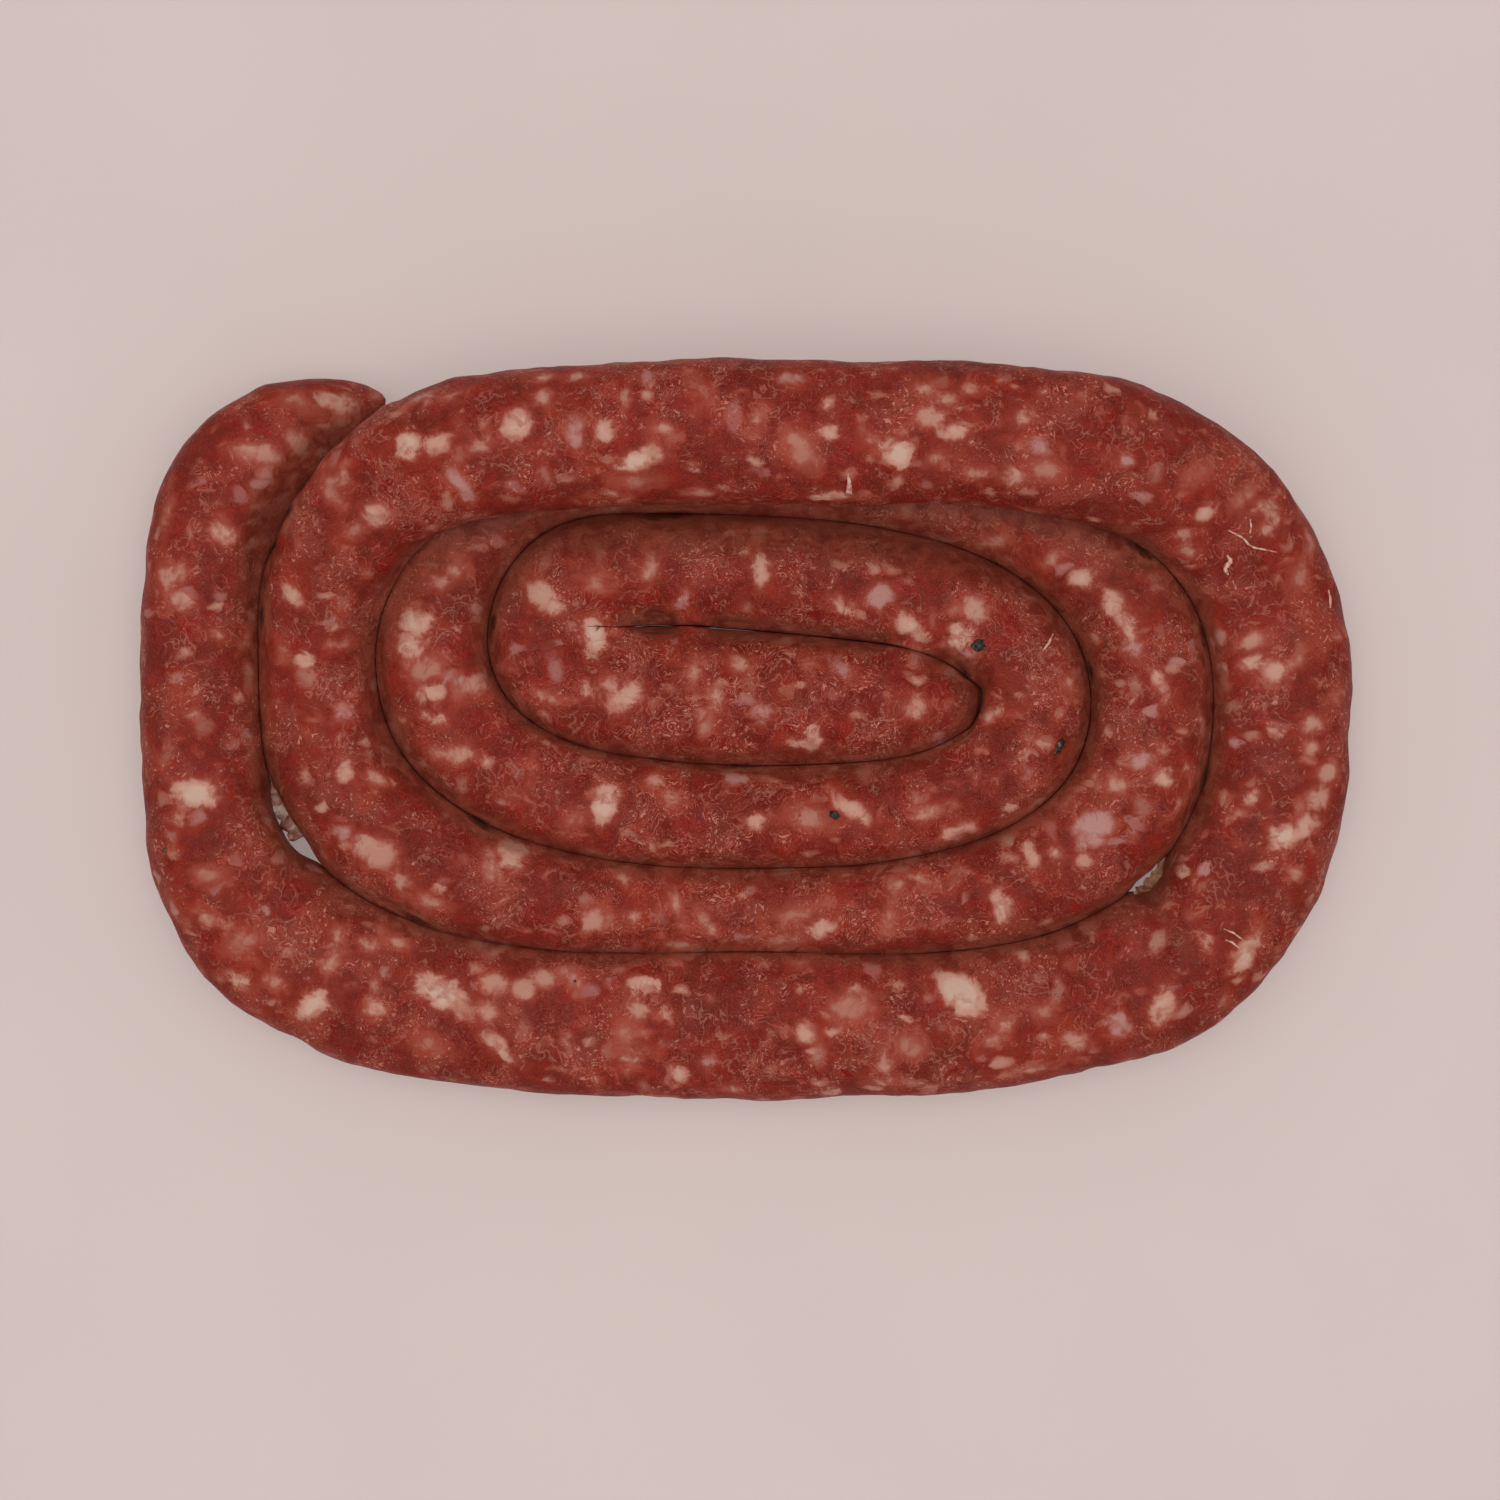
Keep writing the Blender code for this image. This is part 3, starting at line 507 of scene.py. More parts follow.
@dataclass(frozen=True)
class MeatFinish:
    """Coarse raw meat seen through a moist natural casing."""

    lean: tuple[tuple[float, Triple], ...] = (
        (0.0, (95, 25, 11)),
        (0.25, (105, 24, 13)),
        (0.5, (114, 23, 13)),
        (0.75, (130, 24, 14)),
        (1.0, (141, 34, 20)),
    )
    orange: Triple = (160, 56, 32)
    brown: Triple = (106, 42, 18)
    dark: Triple = (84, 20, 8)
    plum: Triple = (122, 38, 36)
    fleck: Triple = (162, 76, 60)
    sinew: Triple = (188, 122, 104)
    # Painted shade in the grooves: a brown where other turns shut the meat in, and a lighter painted light
    # brown for the deepest grooves so they don't render black.
    groove: Triple = (106, 45, 31)
    painted_groove_light: Triple = (142, 74, 55)
    # Painted near-black shadow along the creases between turns.
    painted_crease_shadow: Triple = (46, 16, 9)
    fat_cream: Triple = (196, 145, 126)
    fat_white: Triple = (202, 166, 149)
    fat_pink: Triple = (162, 78, 62)
    fat_lilac: Triple = (184, 136, 132)
    grains: tuple[FatGrain, ...] = (
        FatGrain(9.5, 0.6, 3.6, (1.0, 0.75, 1.1), (0.3, 0.5, 0.2), Edge.SOFT, 0.95, 1.0, True),
        FatGrain(6.3, 0.5, 2.3, (1.2, 0.7, 1.0), (0.5, 0.9, 0.4), Edge.SOFT, 0.6, 0.5),
        FatGrain(3.9, 0.5, 1.6, (0.75, 1.2, 1.0), (1.1, 0.2, 0.9), Edge.CRISP, 0.85, 0.8),
    )

    def fat_tone(self, graph: Graph, pale: object, lilac: object, depth: object) -> object:
        """Mix the colour of fat.

        Args:
            graph: Material being wired.
            pale: Paleness from 0 to 1.
            lilac: Share of bluish fat.
            depth: Millimetres inside the piece.

        Returns:
            The colour.
        """
        heart = graph.math("ADD", pale, graph.ease(depth, 0.0, 2.0, -0.6, 0.3))
        tone = graph.blend(graph.ease(heart, -0.2, 0.75), srgb(*self.fat_pink), srgb(*self.fat_cream))
        tone = graph.blend(graph.ease(heart, 0.85, 1.25), tone, srgb(*self.fat_white))
        return graph.blend(graph.math("MULTIPLY", lilac, 0.7), tone, srgb(*self.fat_lilac))

    def seen(self, graph: Graph, lobes: object, fibre: object, colour: object) -> object:
        """Lay the large pieces that are listed.

        Args:
            graph: Material being wired.
            lobes: Noise from 0 to 1 that makes their outlines uneven.
            fibre: Streaky noise from 0 to 1 that frays them.
            colour: Colour of the meat.

        Returns:
            The colour with the pieces.
        """
        depth, pale, blur = graph.mark(FAT_MARK)
        _, lilac, _ = graph.mark(PLACE_MARK)
        wavy = graph.math("SUBTRACT", lobes, 0.5)
        near = graph.math("MULTIPLY_ADD", wavy, 6.0, depth)
        colour = graph.blend(graph.ease(near, -2.6, 0.2, 0.0, 0.3), colour, srgb(*self.orange))
        uneven = graph.math("MULTIPLY_ADD", wavy, 3.4, depth)
        depth = graph.math("MULTIPLY_ADD", graph.math("SUBTRACT", fibre, 0.5), 2.4, uneven)
        colour = graph.blend(graph.ease(depth, -1.1, 0.5, 0.0, 0.42), colour, srgb(*self.fat_pink))
        cover = graph.ease(depth, -0.1, graph.math("MULTIPLY", blur, 0.6))
        cover = graph.math("MULTIPLY", cover, graph.ease(blur, 0.6, 2.2, 1.0, 0.6))
        tone = self.fat_tone(graph, pale, lilac, depth)
        marbling = graph.ease(fibre, 0.6, 0.42, 0.1, 0.8)
        mottle = graph.math("MULTIPLY", graph.ease(lobes, 0.52, 0.36), marbling)
        tone = graph.blend(mottle, tone, srgb(*self.fat_pink))
        return graph.blend(cover, colour, tone)

    def lumps(self, graph: Graph, place: object, fibre: object,
              grain: FatGrain) -> tuple[object, object, object]:
        """Build one size of scattered fat.

        Args:
            graph: Material being wired.
            place: Warped coordinates in millimetres.
            fibre: Streaky noise from 0 to 1 that frays the pieces.
            grain: The size of fat.

        Returns:
            Cover from 0 to 1, millimetres inside a piece, and a random number for each piece.
        """
        turned = graph.turned(place, grain.turn, grain.stretch)
        cell = graph.cells(turned, grain.spacing)
        chance, tint, strength = graph.split(cell.outputs["Color"])
        size = graph.math("SUBTRACT", chance, 1.0 - grain.share)
        size = graph.math("DIVIDE", size, grain.share, clamp=True)
        size = graph.math("POWER", size, 0.4)
        away = graph.math("MULTIPLY", cell.outputs["Distance"], grain.spacing)
        depth = graph.math("SUBTRACT", graph.math("MULTIPLY", size, grain.radius), away)
        depth = graph.math("MULTIPLY_ADD", graph.math("SUBTRACT", fibre, 0.5), 2.4, depth)
        cover = graph.ease(depth, -0.2 * grain.edge.value, 0.45 * grain.edge.value)
        cover = graph.math("MULTIPLY", cover, graph.math("GREATER_THAN", size, 0.02))
        if grain.hidden:
            cover = graph.math("MULTIPLY", cover, graph.mark(PLACE_MARK)[2])
        shown = graph.ease(strength, 0.0, 1.0, 0.4 * grain.strength, grain.strength)
        return graph.math("MULTIPLY", cover, shown), depth, tint

    def curls(self, graph: Graph, curl: object, where: object, level: float, width: float,
              strength: float, colour: object) -> object:
        """Draw short curled threads of sinew, where a noise crosses one level.

        Args:
            graph: Material being wired.
            curl: Noise from 0 to 1.
            where: Noise from 0 to 1 that cuts the threads short.
            level: Level they follow.
            width: How wide they are, as a difference of level.
            strength: How strongly they cover the meat.
            colour: Colour under them.

        Returns:
            The colour with the threads.
        """
        off = graph.math("ABSOLUTE", graph.math("SUBTRACT", curl, level))
        line = graph.ease(off, width, 0.2 * width)
        line = graph.math("MULTIPLY", line, graph.ease(where, 0.5, 0.58, 0.0, strength))
        return graph.blend(line, colour, srgb(*self.sinew))

    def material(self) -> bpy.types.Material:
        """Wire the whole finish."""
        graph = Graph("raw_meat_in_casing")
        place = graph.millimetres()
        bent = graph.warped(place, 5.5, 2.0, 1.0)
        ragged = graph.warped(bent, 1.5, 0.75, 1.0)
        shade, _, _ = graph.mark(PLACE_MARK)

        broad, rich, veil = graph.split(graph.noise(bent, 9.0, 2.0, 0.6).outputs["Color"])
        mottle, lobes, bruise = graph.split(graph.noise(ragged, 3.1, 2.0, 0.55).outputs["Color"])
        grit, speck, _ = graph.split(graph.noise(ragged, 0.75, 1.5, 0.6).outputs["Color"])

        level = graph.math("MULTIPLY_ADD", graph.math("SUBTRACT", broad, 0.5), 1.25, 0.5)
        level = graph.math("MULTIPLY_ADD", graph.math("SUBTRACT", mottle, 0.5), 1.15, level)
        level = graph.math("MULTIPLY_ADD", graph.math("SUBTRACT", grit, 0.5), 0.7, level)
        colour = graph.ramp(level, self.lean)
        colour = graph.blend(graph.ease(veil, 0.52, 0.68, 0.0, 0.22), colour, srgb(*self.brown))
        colour = graph.blend(graph.ease(rich, 0.54, 0.7, 0.0, 0.3), colour, srgb(*self.orange))
        colour = graph.blend(graph.ease(bruise, 0.5, 0.64, 0.0, 0.4), colour, srgb(*self.plum))
        busy = graph.ease(rich, 0.46, 0.6, 0.1, 1.0)

        axis = graph.vector("ADD", graph.noise(bent, 7.0, 0.0).outputs["Color"], (-0.5, -0.5, -0.5))
        swung = graph.swung(ragged, axis, graph.math("MULTIPLY", veil, 12.0))
        strand = graph.vector("MULTIPLY", swung, (0.3, 1.0, 1.0))
        strand_wide = graph.vector("MULTIPLY", swung, (0.6, 1.0, 1.0))
        fibre, streak, _ = graph.split(graph.noise(strand, 0.9, 1.5, 0.6).outputs["Color"])
        pink, cream, smear = graph.split(graph.noise(strand_wide, 1.9, 1.5, 0.55).outputs["Color"])
        colour = graph.blend(graph.ease(fibre, 0.42, 0.28, 0.0, 0.12), colour, srgb(*self.dark))
        paler = graph.math("MULTIPLY", graph.ease(pink, 0.48, 0.66, 0.0, 0.6), busy)
        colour = graph.blend(paler, colour, srgb(*self.fleck))
        where = graph.ease(smear, 0.55, 0.61)
        shreds = graph.math("MULTIPLY", graph.ease(streak, 0.46, 0.58, 0.0, 0.7), where)
        colour = graph.blend(shreds, colour, srgb(*self.fleck))
        shreds = graph.math("MULTIPLY", graph.ease(streak, 0.57, 0.64, 0.0, 0.75), where)
        colour = graph.blend(shreds, colour, srgb(*self.sinew))
        cover = graph.math("MULTIPLY", graph.ease(cream, 0.6, 0.65, 0.0, 0.95), busy)
        colour = graph.blend(cover, colour, srgb(*self.sinew))
        for grain in self.grains:
            cover, depth, tint = self.lumps(graph, ragged, fibre, grain)
            halo = graph.ease(depth, -1.2, 0.2, 0.0, 0.25)
            colour = graph.blend(halo, colour, srgb(*self.orange))
            pale = graph.math("MULTIPLY_ADD", tint, grain.pale, 0.2)
            lilac = graph.ease(tint, 0.2, 0.08)
            colour = graph.blend(cover, colour, self.fat_tone(graph, pale, lilac, depth))
        bits = graph.math("MULTIPLY", graph.ease(speck, 0.63, 0.67, 0.0, 0.95), busy)
        colour = graph.blend(bits, colour, srgb(*self.sinew))
        colour = graph.blend(graph.ease(speck, 0.37, 0.32, 0.0, 0.4), colour, srgb(*self.dark))
        colour = self.curls(graph, lobes, veil, 0.53, 0.03, 0.35, colour)
        colour = self.seen(graph, lobes, fibre, colour)

        # Painted shade: the meat turns brown where other turns shelter it, and a lighter painted brown comes
        # back in the deepest grooves so they don't render black.
        painted_groove_tone = graph.blend(graph.ease(lobes, 0.32, 0.68), srgb(*self.groove), srgb(*self.painted_groove_light))
        colour = graph.blend(graph.ease(shade, 0.1, 0.5, 0.0, 0.64), colour, painted_groove_tone)
        colour = graph.blend(graph.ease(shade, 0.6, 0.9, 0.0, 0.45), colour, srgb(*self.painted_groove_light))
        # Painted near-black shadow along the listed creases.
        crease_shadow_level = graph.math("MULTIPLY_ADD", graph.math("SUBTRACT", lobes, 0.5), 0.8, shade)
        colour = graph.blend(graph.ease(crease_shadow_level, 0.9, 1.3, 0.0, 0.8), colour, srgb(*self.painted_crease_shadow))
        rough = graph.ease(grit, 0.3, 0.7, 0.4, 0.58)
        relief = graph.noise(place, 0.7, 1.5, 0.6).outputs["Fac"]
        return graph.finish(
            colour, rough, relief, 0.00018,
            Subsurface_Weight=0.2, Subsurface_Radius=(1.0, 0.3, 0.2), Subsurface_Scale=0.003,
            Specular_IOR_Level=0.09,
        )


@dataclass(frozen=True)
class Dent:
    """A place where the casing is drawn in or pushed out.

    Attributes:
        at: Place along and across the coil, in millimetres.
        length: Half length in millimetres.
        width: Half width in millimetres.
        turn: Turn of its length in degrees.
        depth: How far it goes in, in millimetres. Below 0 it stands out.
        stain_and_shade: How much brown stain and painted shade it lays on, from 0 to 1. Up to 2 it goes on to
            a nearly black painted shadow.
    """

    at: tuple[float, float]
    length: float
    width: float
    turn: float
    depth: float
    stain_and_shade: float = 0.0


@dataclass(frozen=True)
class Filling:
    """A stretch of a groove where the meat on both sides has pressed up into it.

    Attributes:
        at: Place along and across the coil, in millimetres.
        length: Half length in millimetres.
        width: Half width in millimetres.
        turn: Turn of its length in degrees.
        level: Height that the meat rises towards, in millimetres.
        share: How far it rises towards that height, from 0 to 1.
        pinch: How far its walls close, from 0 to 1.
    """

    at: tuple[float, float]
    length: float
    width: float
    turn: float
    level: float
    share: float
    pinch: float


@dataclass(frozen=True)
class Relief:
    """One size of unevenness all over the rope.

    Attributes:
        name: What it is.
        size: Millimetres from one rise to the next.
        strength: Full height in millimetres.
        octaves: How many finer sizes ride on it.
    """

    name: str
    size: float
    strength: float
    octaves: int


@dataclass
class SausageSkin:
    """The rope of sausage, as a smooth uneven skin grown from the solid's own faces.

    Attributes:
        merge: Distance under which corners are one, in metres.
        levels: Times each face is split in four.
        slit: Room left between turns that press together, in metres.
        reliefs: Unevenness of the rope.
        dents: Single folds and pits.
        painted_crease_shadows: Stretches of groove given a painted dark shadow.
        fat_rise: How far a clear piece of fat stands out, in metres.
        fillings: Stretches of groove that are nearly filled.
        looks: How many directions are tried to see how sheltered a place is.
        shelter: How far away another turn shelters a place, in metres.
    """

    merge: float = 2e-6
    levels: int = 2
    slit: float = 0.06 * MM
    fat_rise: float = 0.16 * MM
    reliefs: tuple[Relief, ...] = (
        Relief("long_swell", 19.0, 1.5, 0),
        Relief("lumpiness", 8.0, 1.4, 1),
        Relief("grain", 3.6, 0.4, 0),
    )
    # The last number of a dent is brown stain with painted shade in the pit.
    dents: tuple[Dent, ...] = (
        Dent((77.5, -32.0), 7.0, 1.8, -60.0, 1.2, 0.6),
        Dent((82.0, -39.5), 6.5, 3.0, -58.0, 0.8, 0.45),
        Dent((-17.5, 21.6), 4.2, 2.0, -14.0, 1.5, 0.5),
        Dent((-3.0, 20.4), 8.0, 1.4, -4.0, 0.9, 0.8),
        Dent((24.0, 17.8), 6.0, 1.1, -2.0, 0.7, 0.7),
        Dent((-36.5, 16.8), 3.4, 1.4, 25.0, 0.8, 0.5),
        Dent((-33.0, 19.2), 4.5, 0.9, 12.0, 0.6, 0.4),
        Dent((-37.5, 14.0), 3.5, 1.2, -15.0, 0.5, 0.3),
        Dent((-36.5, 9.0), 3.4, 0.8, 0.0, 0.7, 0.6),
        Dent((-32.5, 1.8), 2.0, 1.6, 0.0, 0.4, 0.55),
        Dent((10.5, 5.8), 2.4, 1.4, -20.0, 0.7, 0.45),
        Dent((60.0, -4.0), 3.2, 1.6, 50.0, 0.5, 0.5),
        Dent((-68.8, 63.4), 2.6, 2.0, -35.0, -1.8),
    )
    # Painted near-black shadow along creases between turns; these dents go in little or not at all.
    painted_crease_shadows: tuple[Dent, ...] = (
        Dent((-19.4, 20.9), 4.2, 1.5, -8.0, 0.1, 2.0),
        Dent((-1.0, 19.9), 8.0, 1.4, -4.0, 0.1, 1.9),
        Dent((41.0, 12.3), 4.5, 1.7, -50.0, 0.1, 1.9),
        Dent((-15.0, 41.4), 12.0, 1.7, 2.0, 0.0, 1.9),
        Dent((-47.8, 20.5), 7.0, 1.7, 84.0, 0.0, 1.8),
        Dent((-85.6, 42.0), 4.2, 2.2, 62.0, 0.0, 2.0),
        Dent((-91.2, 22.5), 7.0, 1.6, 86.0, 0.0, 1.8),
        Dent((73.9, 34.9), 6.5, 1.6, -33.0, 0.0, 2.0),
        Dent((86.6, 18.6), 7.0, 1.7, -78.0, 0.0, 1.8),
        Dent((65.0, 11.8), 6.0, 1.6, -76.0, 0.0, 1.8),
        Dent((0.0, -5.9), 12.0, 1.3, 0.0, 0.0, 1.7),
        Dent((-49.8, -16.6), 9.0, 1.8, -33.0, 0.0, 1.8),
        Dent((-62.2, -34.9), 9.0, 1.7, -28.0, 0.0, 1.8),
        Dent((87.0, -8.0), 9.0, 1.9, 80.0, 0.0, 1.8),
    )
    fillings: tuple[Filling, ...] = (
        Filling((-29.0, 20.6), 8.0, 3.4, -6.0, 21.5, 0.9, 0.96),
        Filling((44.4, 6.3), 7.0, 2.6, 76.0, 13.0, 0.7, 0.6),
        Filling((-9.5, 20.8), 3.4, 2.0, -4.0, 21.0, 0.6, 0.5),
        Filling((-85.6, 41.2), 7.0, 2.8, 60.0, 12.0, 0.6, 0.9),
        Filling((-86.1, 40.2), 5.5, 3.2, 64.0, 14.0, 0.85, 1.0),
        Filling((30.0, 16.2), 3.6, 2.0, -16.0, 20.0, 0.5, 0.4),
    )
    looks: int = 16
    shelter: float = 25.0 * MM

    def copy_solid(self) -> bpy.types.Object:
        """Copy the solid's faces into a new piece."""
        bpy.ops.object.select_all(action="DESELECT")
        node = frame["nodes"][CAD_NODE]
        node.select_set(True)
        bpy.context.view_layer.objects.active = node
        bpy.ops.object.duplicate()
        piece = bpy.context.view_layer.objects.active
        bpy.ops.object.parent_clear(type="CLEAR_KEEP_TRANSFORM")
        for key in list(piece.keys()):
            del piece[key]
        piece.name = "sausage_skin"
        piece.data.name = "sausage_skin"
        bpy.ops.object.mode_set(mode="EDIT")
        bpy.ops.mesh.select_all(action="SELECT")
        bpy.ops.mesh.remove_doubles(threshold=self.merge)
        bpy.ops.mesh.tris_convert_to_quads(face_threshold=math.radians(70), shape_threshold=math.radians(80))
        bpy.ops.object.mode_set(mode="OBJECT")
        return piece

    def finish_modifier(self, piece: bpy.types.Object, modifier: bpy.types.Modifier) -> None:
        """Apply one modifier."""
        bpy.context.view_layer.objects.active = piece
        bpy.ops.object.modifier_apply(modifier=modifier.name)

    def round_off(self, piece: bpy.types.Object) -> None:
        """Split and round the faces."""
        modifier = piece.modifiers.new("round", "SUBSURF")
        modifier.levels = self.levels
        modifier.render_levels = self.levels
        self.finish_modifier(piece, modifier)
        bpy.ops.object.shade_smooth()

    def points(self, piece: bpy.types.Object) -> np.ndarray:
        """Give the places of the corners."""
        flat = np.empty(len(piece.data.vertices) * 3, dtype=np.float32)
        piece.data.vertices.foreach_get("co", flat)
        return flat.reshape(-1, 3).astype(np.float64)

    def normals(self, piece: bpy.types.Object) -> np.ndarray:
        """Give the outward directions of the corners."""
        flat = np.empty(len(piece.data.vertices) * 3, dtype=np.float32)
        piece.data.vertices.foreach_get("normal", flat)
        return flat.reshape(-1, 3).astype(np.float64)

    def move_to(self, piece: bpy.types.Object, points: np.ndarray) -> None:
        """Put the corners at new places."""
        piece.data.vertices.foreach_set("co", points.astype(np.float32).ravel())
        piece.data.update()

    def tree(self, piece: bpy.types.Object) -> BVHTree:
        """Build a search tree of the skin's faces."""
        corners = [tuple(point) for point in self.points(piece)]
        return BVHTree.FromPolygons(corners, [tuple(face.vertices) for face in piece.data.polygons])

    def evened(self, piece: bpy.types.Object, values: np.ndarray, rounds: int) -> np.ndarray:
        """Average a number over neighbouring corners.

        Args:
            piece: The skin.
            values: One number for each corner.
            rounds: How many times to average.

        Returns:
            The averaged numbers.
        """
        edges = np.empty(len(piece.data.edges) * 2, dtype=np.int32)
        piece.data.edges.foreach_get("vertices", edges)
        first, second = edges.reshape(-1, 2).T
        count = np.bincount(first, minlength=len(values)) + np.bincount(second, minlength=len(values))
        for _ in range(rounds):
            total = np.bincount(first, weights=values[second], minlength=len(values))
            total += np.bincount(second, weights=values[first], minlength=len(values))
            values = 0.5 * values + 0.5 * total / np.maximum(count, 1)
        return values

    def clearance(self, piece: bpy.types.Object, reach: float) -> np.ndarray:
        """Measure how far it is straight out from the skin to another turn of the rope.

        Args:
            piece: The skin.
            reach: How far to look, in metres.

        Returns:
            Distance for each corner, or the reach where nothing is met.
        """
        tree, points, normals = self.tree(piece), self.points(piece), self.normals(piece)
        result = np.full(len(points), reach)
        starts = points + normals * 0.12 * MM
        for index in range(len(points)):
            hit = tree.ray_cast(Vector(starts[index]), Vector(normals[index]), reach)
            if hit[3] is not None:
                result[index] = hit[3]
        return result

    def sheltered(self, piece: bpy.types.Object) -> np.ndarray:
        """Measure how far other turns shut each place in.

        Args:
            piece: The skin.

        Returns:
            Share of the view outwards that is blocked, for each corner.
        """
        tree, points, normals = self.tree(piece), self.points(piece), self.normals(piece)
        side = np.cross(normals, np.array([0.31, 0.87, 0.38]))
        side /= np.maximum(np.linalg.norm(side, axis=1), 1e-6)[:, None]
        other = np.cross(normals, side)
        starts = [Vector(start) for start in points + normals * 0.15 * MM]
        blocked = np.zeros(len(points))
        for look in range(self.looks):
            rise = math.sqrt(1.0 - (look + 0.5) / self.looks)
            spread = math.sqrt(1.0 - rise * rise)
            angle = look * math.pi * (3.0 - math.sqrt(5.0))
            aims = normals * rise + side * (spread * math.cos(angle)) + other * (spread * math.sin(angle))
            for index, aim in enumerate(aims):
                if tree.ray_cast(starts[index], Vector(aim), self.shelter)[3] is not None:
                    blocked[index] += 1.0
        return self.evened(piece, blocked / self.looks, 3)

    def close_slits(self, piece: bpy.types.Object, straight: np.ndarray) -> None:
        """Swell the skin until turns that press together touch.

        Args:
            piece: The skin.
            straight: Distance to the next turn, in metres.
        """
        gap = straight + 0.12 * MM
        move = 0.5 * np.clip(gap - self.slit, 0.0, None) * (1.0 - ease_array(gap, 1.2 * MM, 2.7 * MM))
        move = np.minimum(self.evened(piece, move, 1), 0.5 * np.clip(gap - self.slit, 0.0, None))
        self.move_to(piece, self.points(piece) + self.normals(piece) * move[:, None])

    def roughen(self, piece: bpy.types.Object, straight: np.ndarray) -> None:
        """Give the rope its uneven swell, less where it presses on a neighbour.

        Args:
            piece: The skin.
            straight: Distance to the next turn, in metres.
        """
        points = self.points(piece)
        free = ease_array(straight, 0.8 * MM, 4.5 * MM) * ease_array(points[:, 2], 0.0, 1.5 * MM)
        free = self.evened(piece, free, 3)
        group_name = "free"
        group = piece.vertex_groups.new(name=group_name)
        for level in range(1, 21):
            members = np.nonzero(np.round(free * 20).astype(int) == level)[0]
            if len(members):
                group.add(members.tolist(), level / 20.0, "REPLACE")
        for relief in self.reliefs:
            texture = bpy.data.textures.new(relief.name, "CLOUDS")
            texture.noise_scale = relief.size * MM
            texture.noise_depth = relief.octaves
            texture.noise_basis = "ORIGINAL_PERLIN"
            modifier = piece.modifiers.new(relief.name, "DISPLACE")
            modifier.texture = texture
            modifier.texture_coords = "LOCAL"
            modifier.strength = relief.strength * MM
            modifier.mid_level = 0.5
            modifier.vertex_group = group_name
            self.finish_modifier(piece, modifier)
        piece.vertex_groups.remove(piece.vertex_groups[group_name])

    def press(self, piece: bpy.types.Object) -> np.ndarray:
        """Press in the single folds and pits, and give the brown stain and painted shade that they and the
        painted crease shadows lay on each corner.
        """
        points, normals = self.points(piece), self.normals(piece)
        facing = ease_array(normals[:, 2], -0.1, 0.35)
        # Brown stain and painted shade of the pits and creases, kept as one number.
        stain_and_shade = np.zeros(len(points))
        for dent in self.dents + self.painted_crease_shadows:
            turn = math.radians(dent.turn)
            east, north = points[:, 0] / MM - dent.at[0], points[:, 1] / MM - dent.at[1]
            along = east * math.cos(turn) + north * math.sin(turn)
            across = north * math.cos(turn) - east * math.sin(turn)
            share = np.exp(-((along / dent.length) ** 2 + (across / dent.width) ** 2)) * facing
            points = points - normals * (share * dent.depth * MM)[:, None]
            stain_and_shade = np.maximum(stain_and_shade, share * dent.stain_and_shade)
        self.move_to(piece, points)
        return stain_and_shade

    def fill(self, piece: bpy.types.Object) -> None:
        """Raise the meat in the grooves that are nearly filled."""
        points, normals = self.points(piece), self.normals(piece)
        facing = ease_array(normals[:, 2], -0.15, 0.2)
        for filling in self.fillings:
            turn = math.radians(filling.turn)
            east, north = points[:, 0] / MM - filling.at[0], points[:, 1] / MM - filling.at[1]
            along = east * math.cos(turn) + north * math.sin(turn)
            across = north * math.cos(turn) - east * math.sin(turn)
            reach = np.sqrt((along / filling.length) ** 2 + (across / filling.width) ** 2)
            share = (1.0 - ease_array(reach, 0.55, 1.3)) * facing * filling.share
            rise = np.clip(filling.level * MM - points[:, 2], 0.0, None)
            points[:, 2] += share * rise
            close = filling.pinch * np.exp(-((across / 1.8) ** 2) - (along / filling.length) ** 4)
            close *= ease_array(points[:, 2], 3.0 * MM, 7.0 * MM)
            points[:, 0] += close * across * math.sin(turn) * MM
            points[:, 1] -= close * across * math.cos(turn) * MM
        self.move_to(piece, points)

    def lay_fat(self, piece: bpy.types.Object) -> tuple[np.ndarray, np.ndarray]:
        """Mark the large pieces of fat on the skin and let the clear ones stand out a little.

        Returns:
            Millimetres inside the nearest piece, its paleness and its blur, and whether it is bluish.
        """
        tree, points = self.tree(piece), self.points(piece)
        fat = np.tile(np.array([-6.0, 0.0, 1.0]), (len(points), 1))
        bluish = np.zeros(len(points))
        rise = np.zeros(len(points))
        for (edge, tint), rows in SEEN_FAT.items():
            for x, y, length, width, turn, pale in rows:
                hit, normal, _, _ = tree.ray_cast(Vector((x * MM, y * MM, 0.1)), Vector((0.0, 0.0, -1.0)))
                if hit is None:
                    continue
                along = Vector((math.cos(math.radians(turn)), math.sin(math.radians(turn)), 0.0))
                along = (along - normal * along.dot(normal)).normalized()
                across = normal.cross(along)
                away = (points - np.array(hit)) / MM
                near = np.nonzero(np.abs(away).max(axis=1) < 12.0)[0]
                away = away[near]
                half_length, half_width = 0.5 * length + 0.65, 0.5 * width + 0.5
                share = np.sqrt((away @ np.array(along) / half_length) ** 2
                                + (away @ np.array(across) / half_width) ** 2
                                + (away @ np.array(normal) / (half_length + 1.0)) ** 2)
                depth = (1.0 - share) * half_width
                closer = depth > fat[near, 0]
                chosen = near[closer]
                fat[chosen, 0] = depth[closer]
                fat[chosen, 1] = pale
                fat[chosen, 2] = edge.value
                bluish[chosen] = 1.0 if tint is Tint.LILAC else 0.0
                if edge is Edge.CRISP:
                    rise[near] = np.maximum(rise[near], ease_array(depth, -0.6, 0.8))
        self.move_to(piece, points + self.normals(piece) * (rise * self.fat_rise)[:, None])
        return fat, bluish

    def write_mark(self, piece: bpy.types.Object, name: str, values: np.ndarray) -> None:
        """Store three numbers for each corner under a name."""
        layer = piece.data.attributes.new(name, "FLOAT_VECTOR", "POINT")
        layer.data.foreach_set("vector", values.astype(np.float32).ravel())

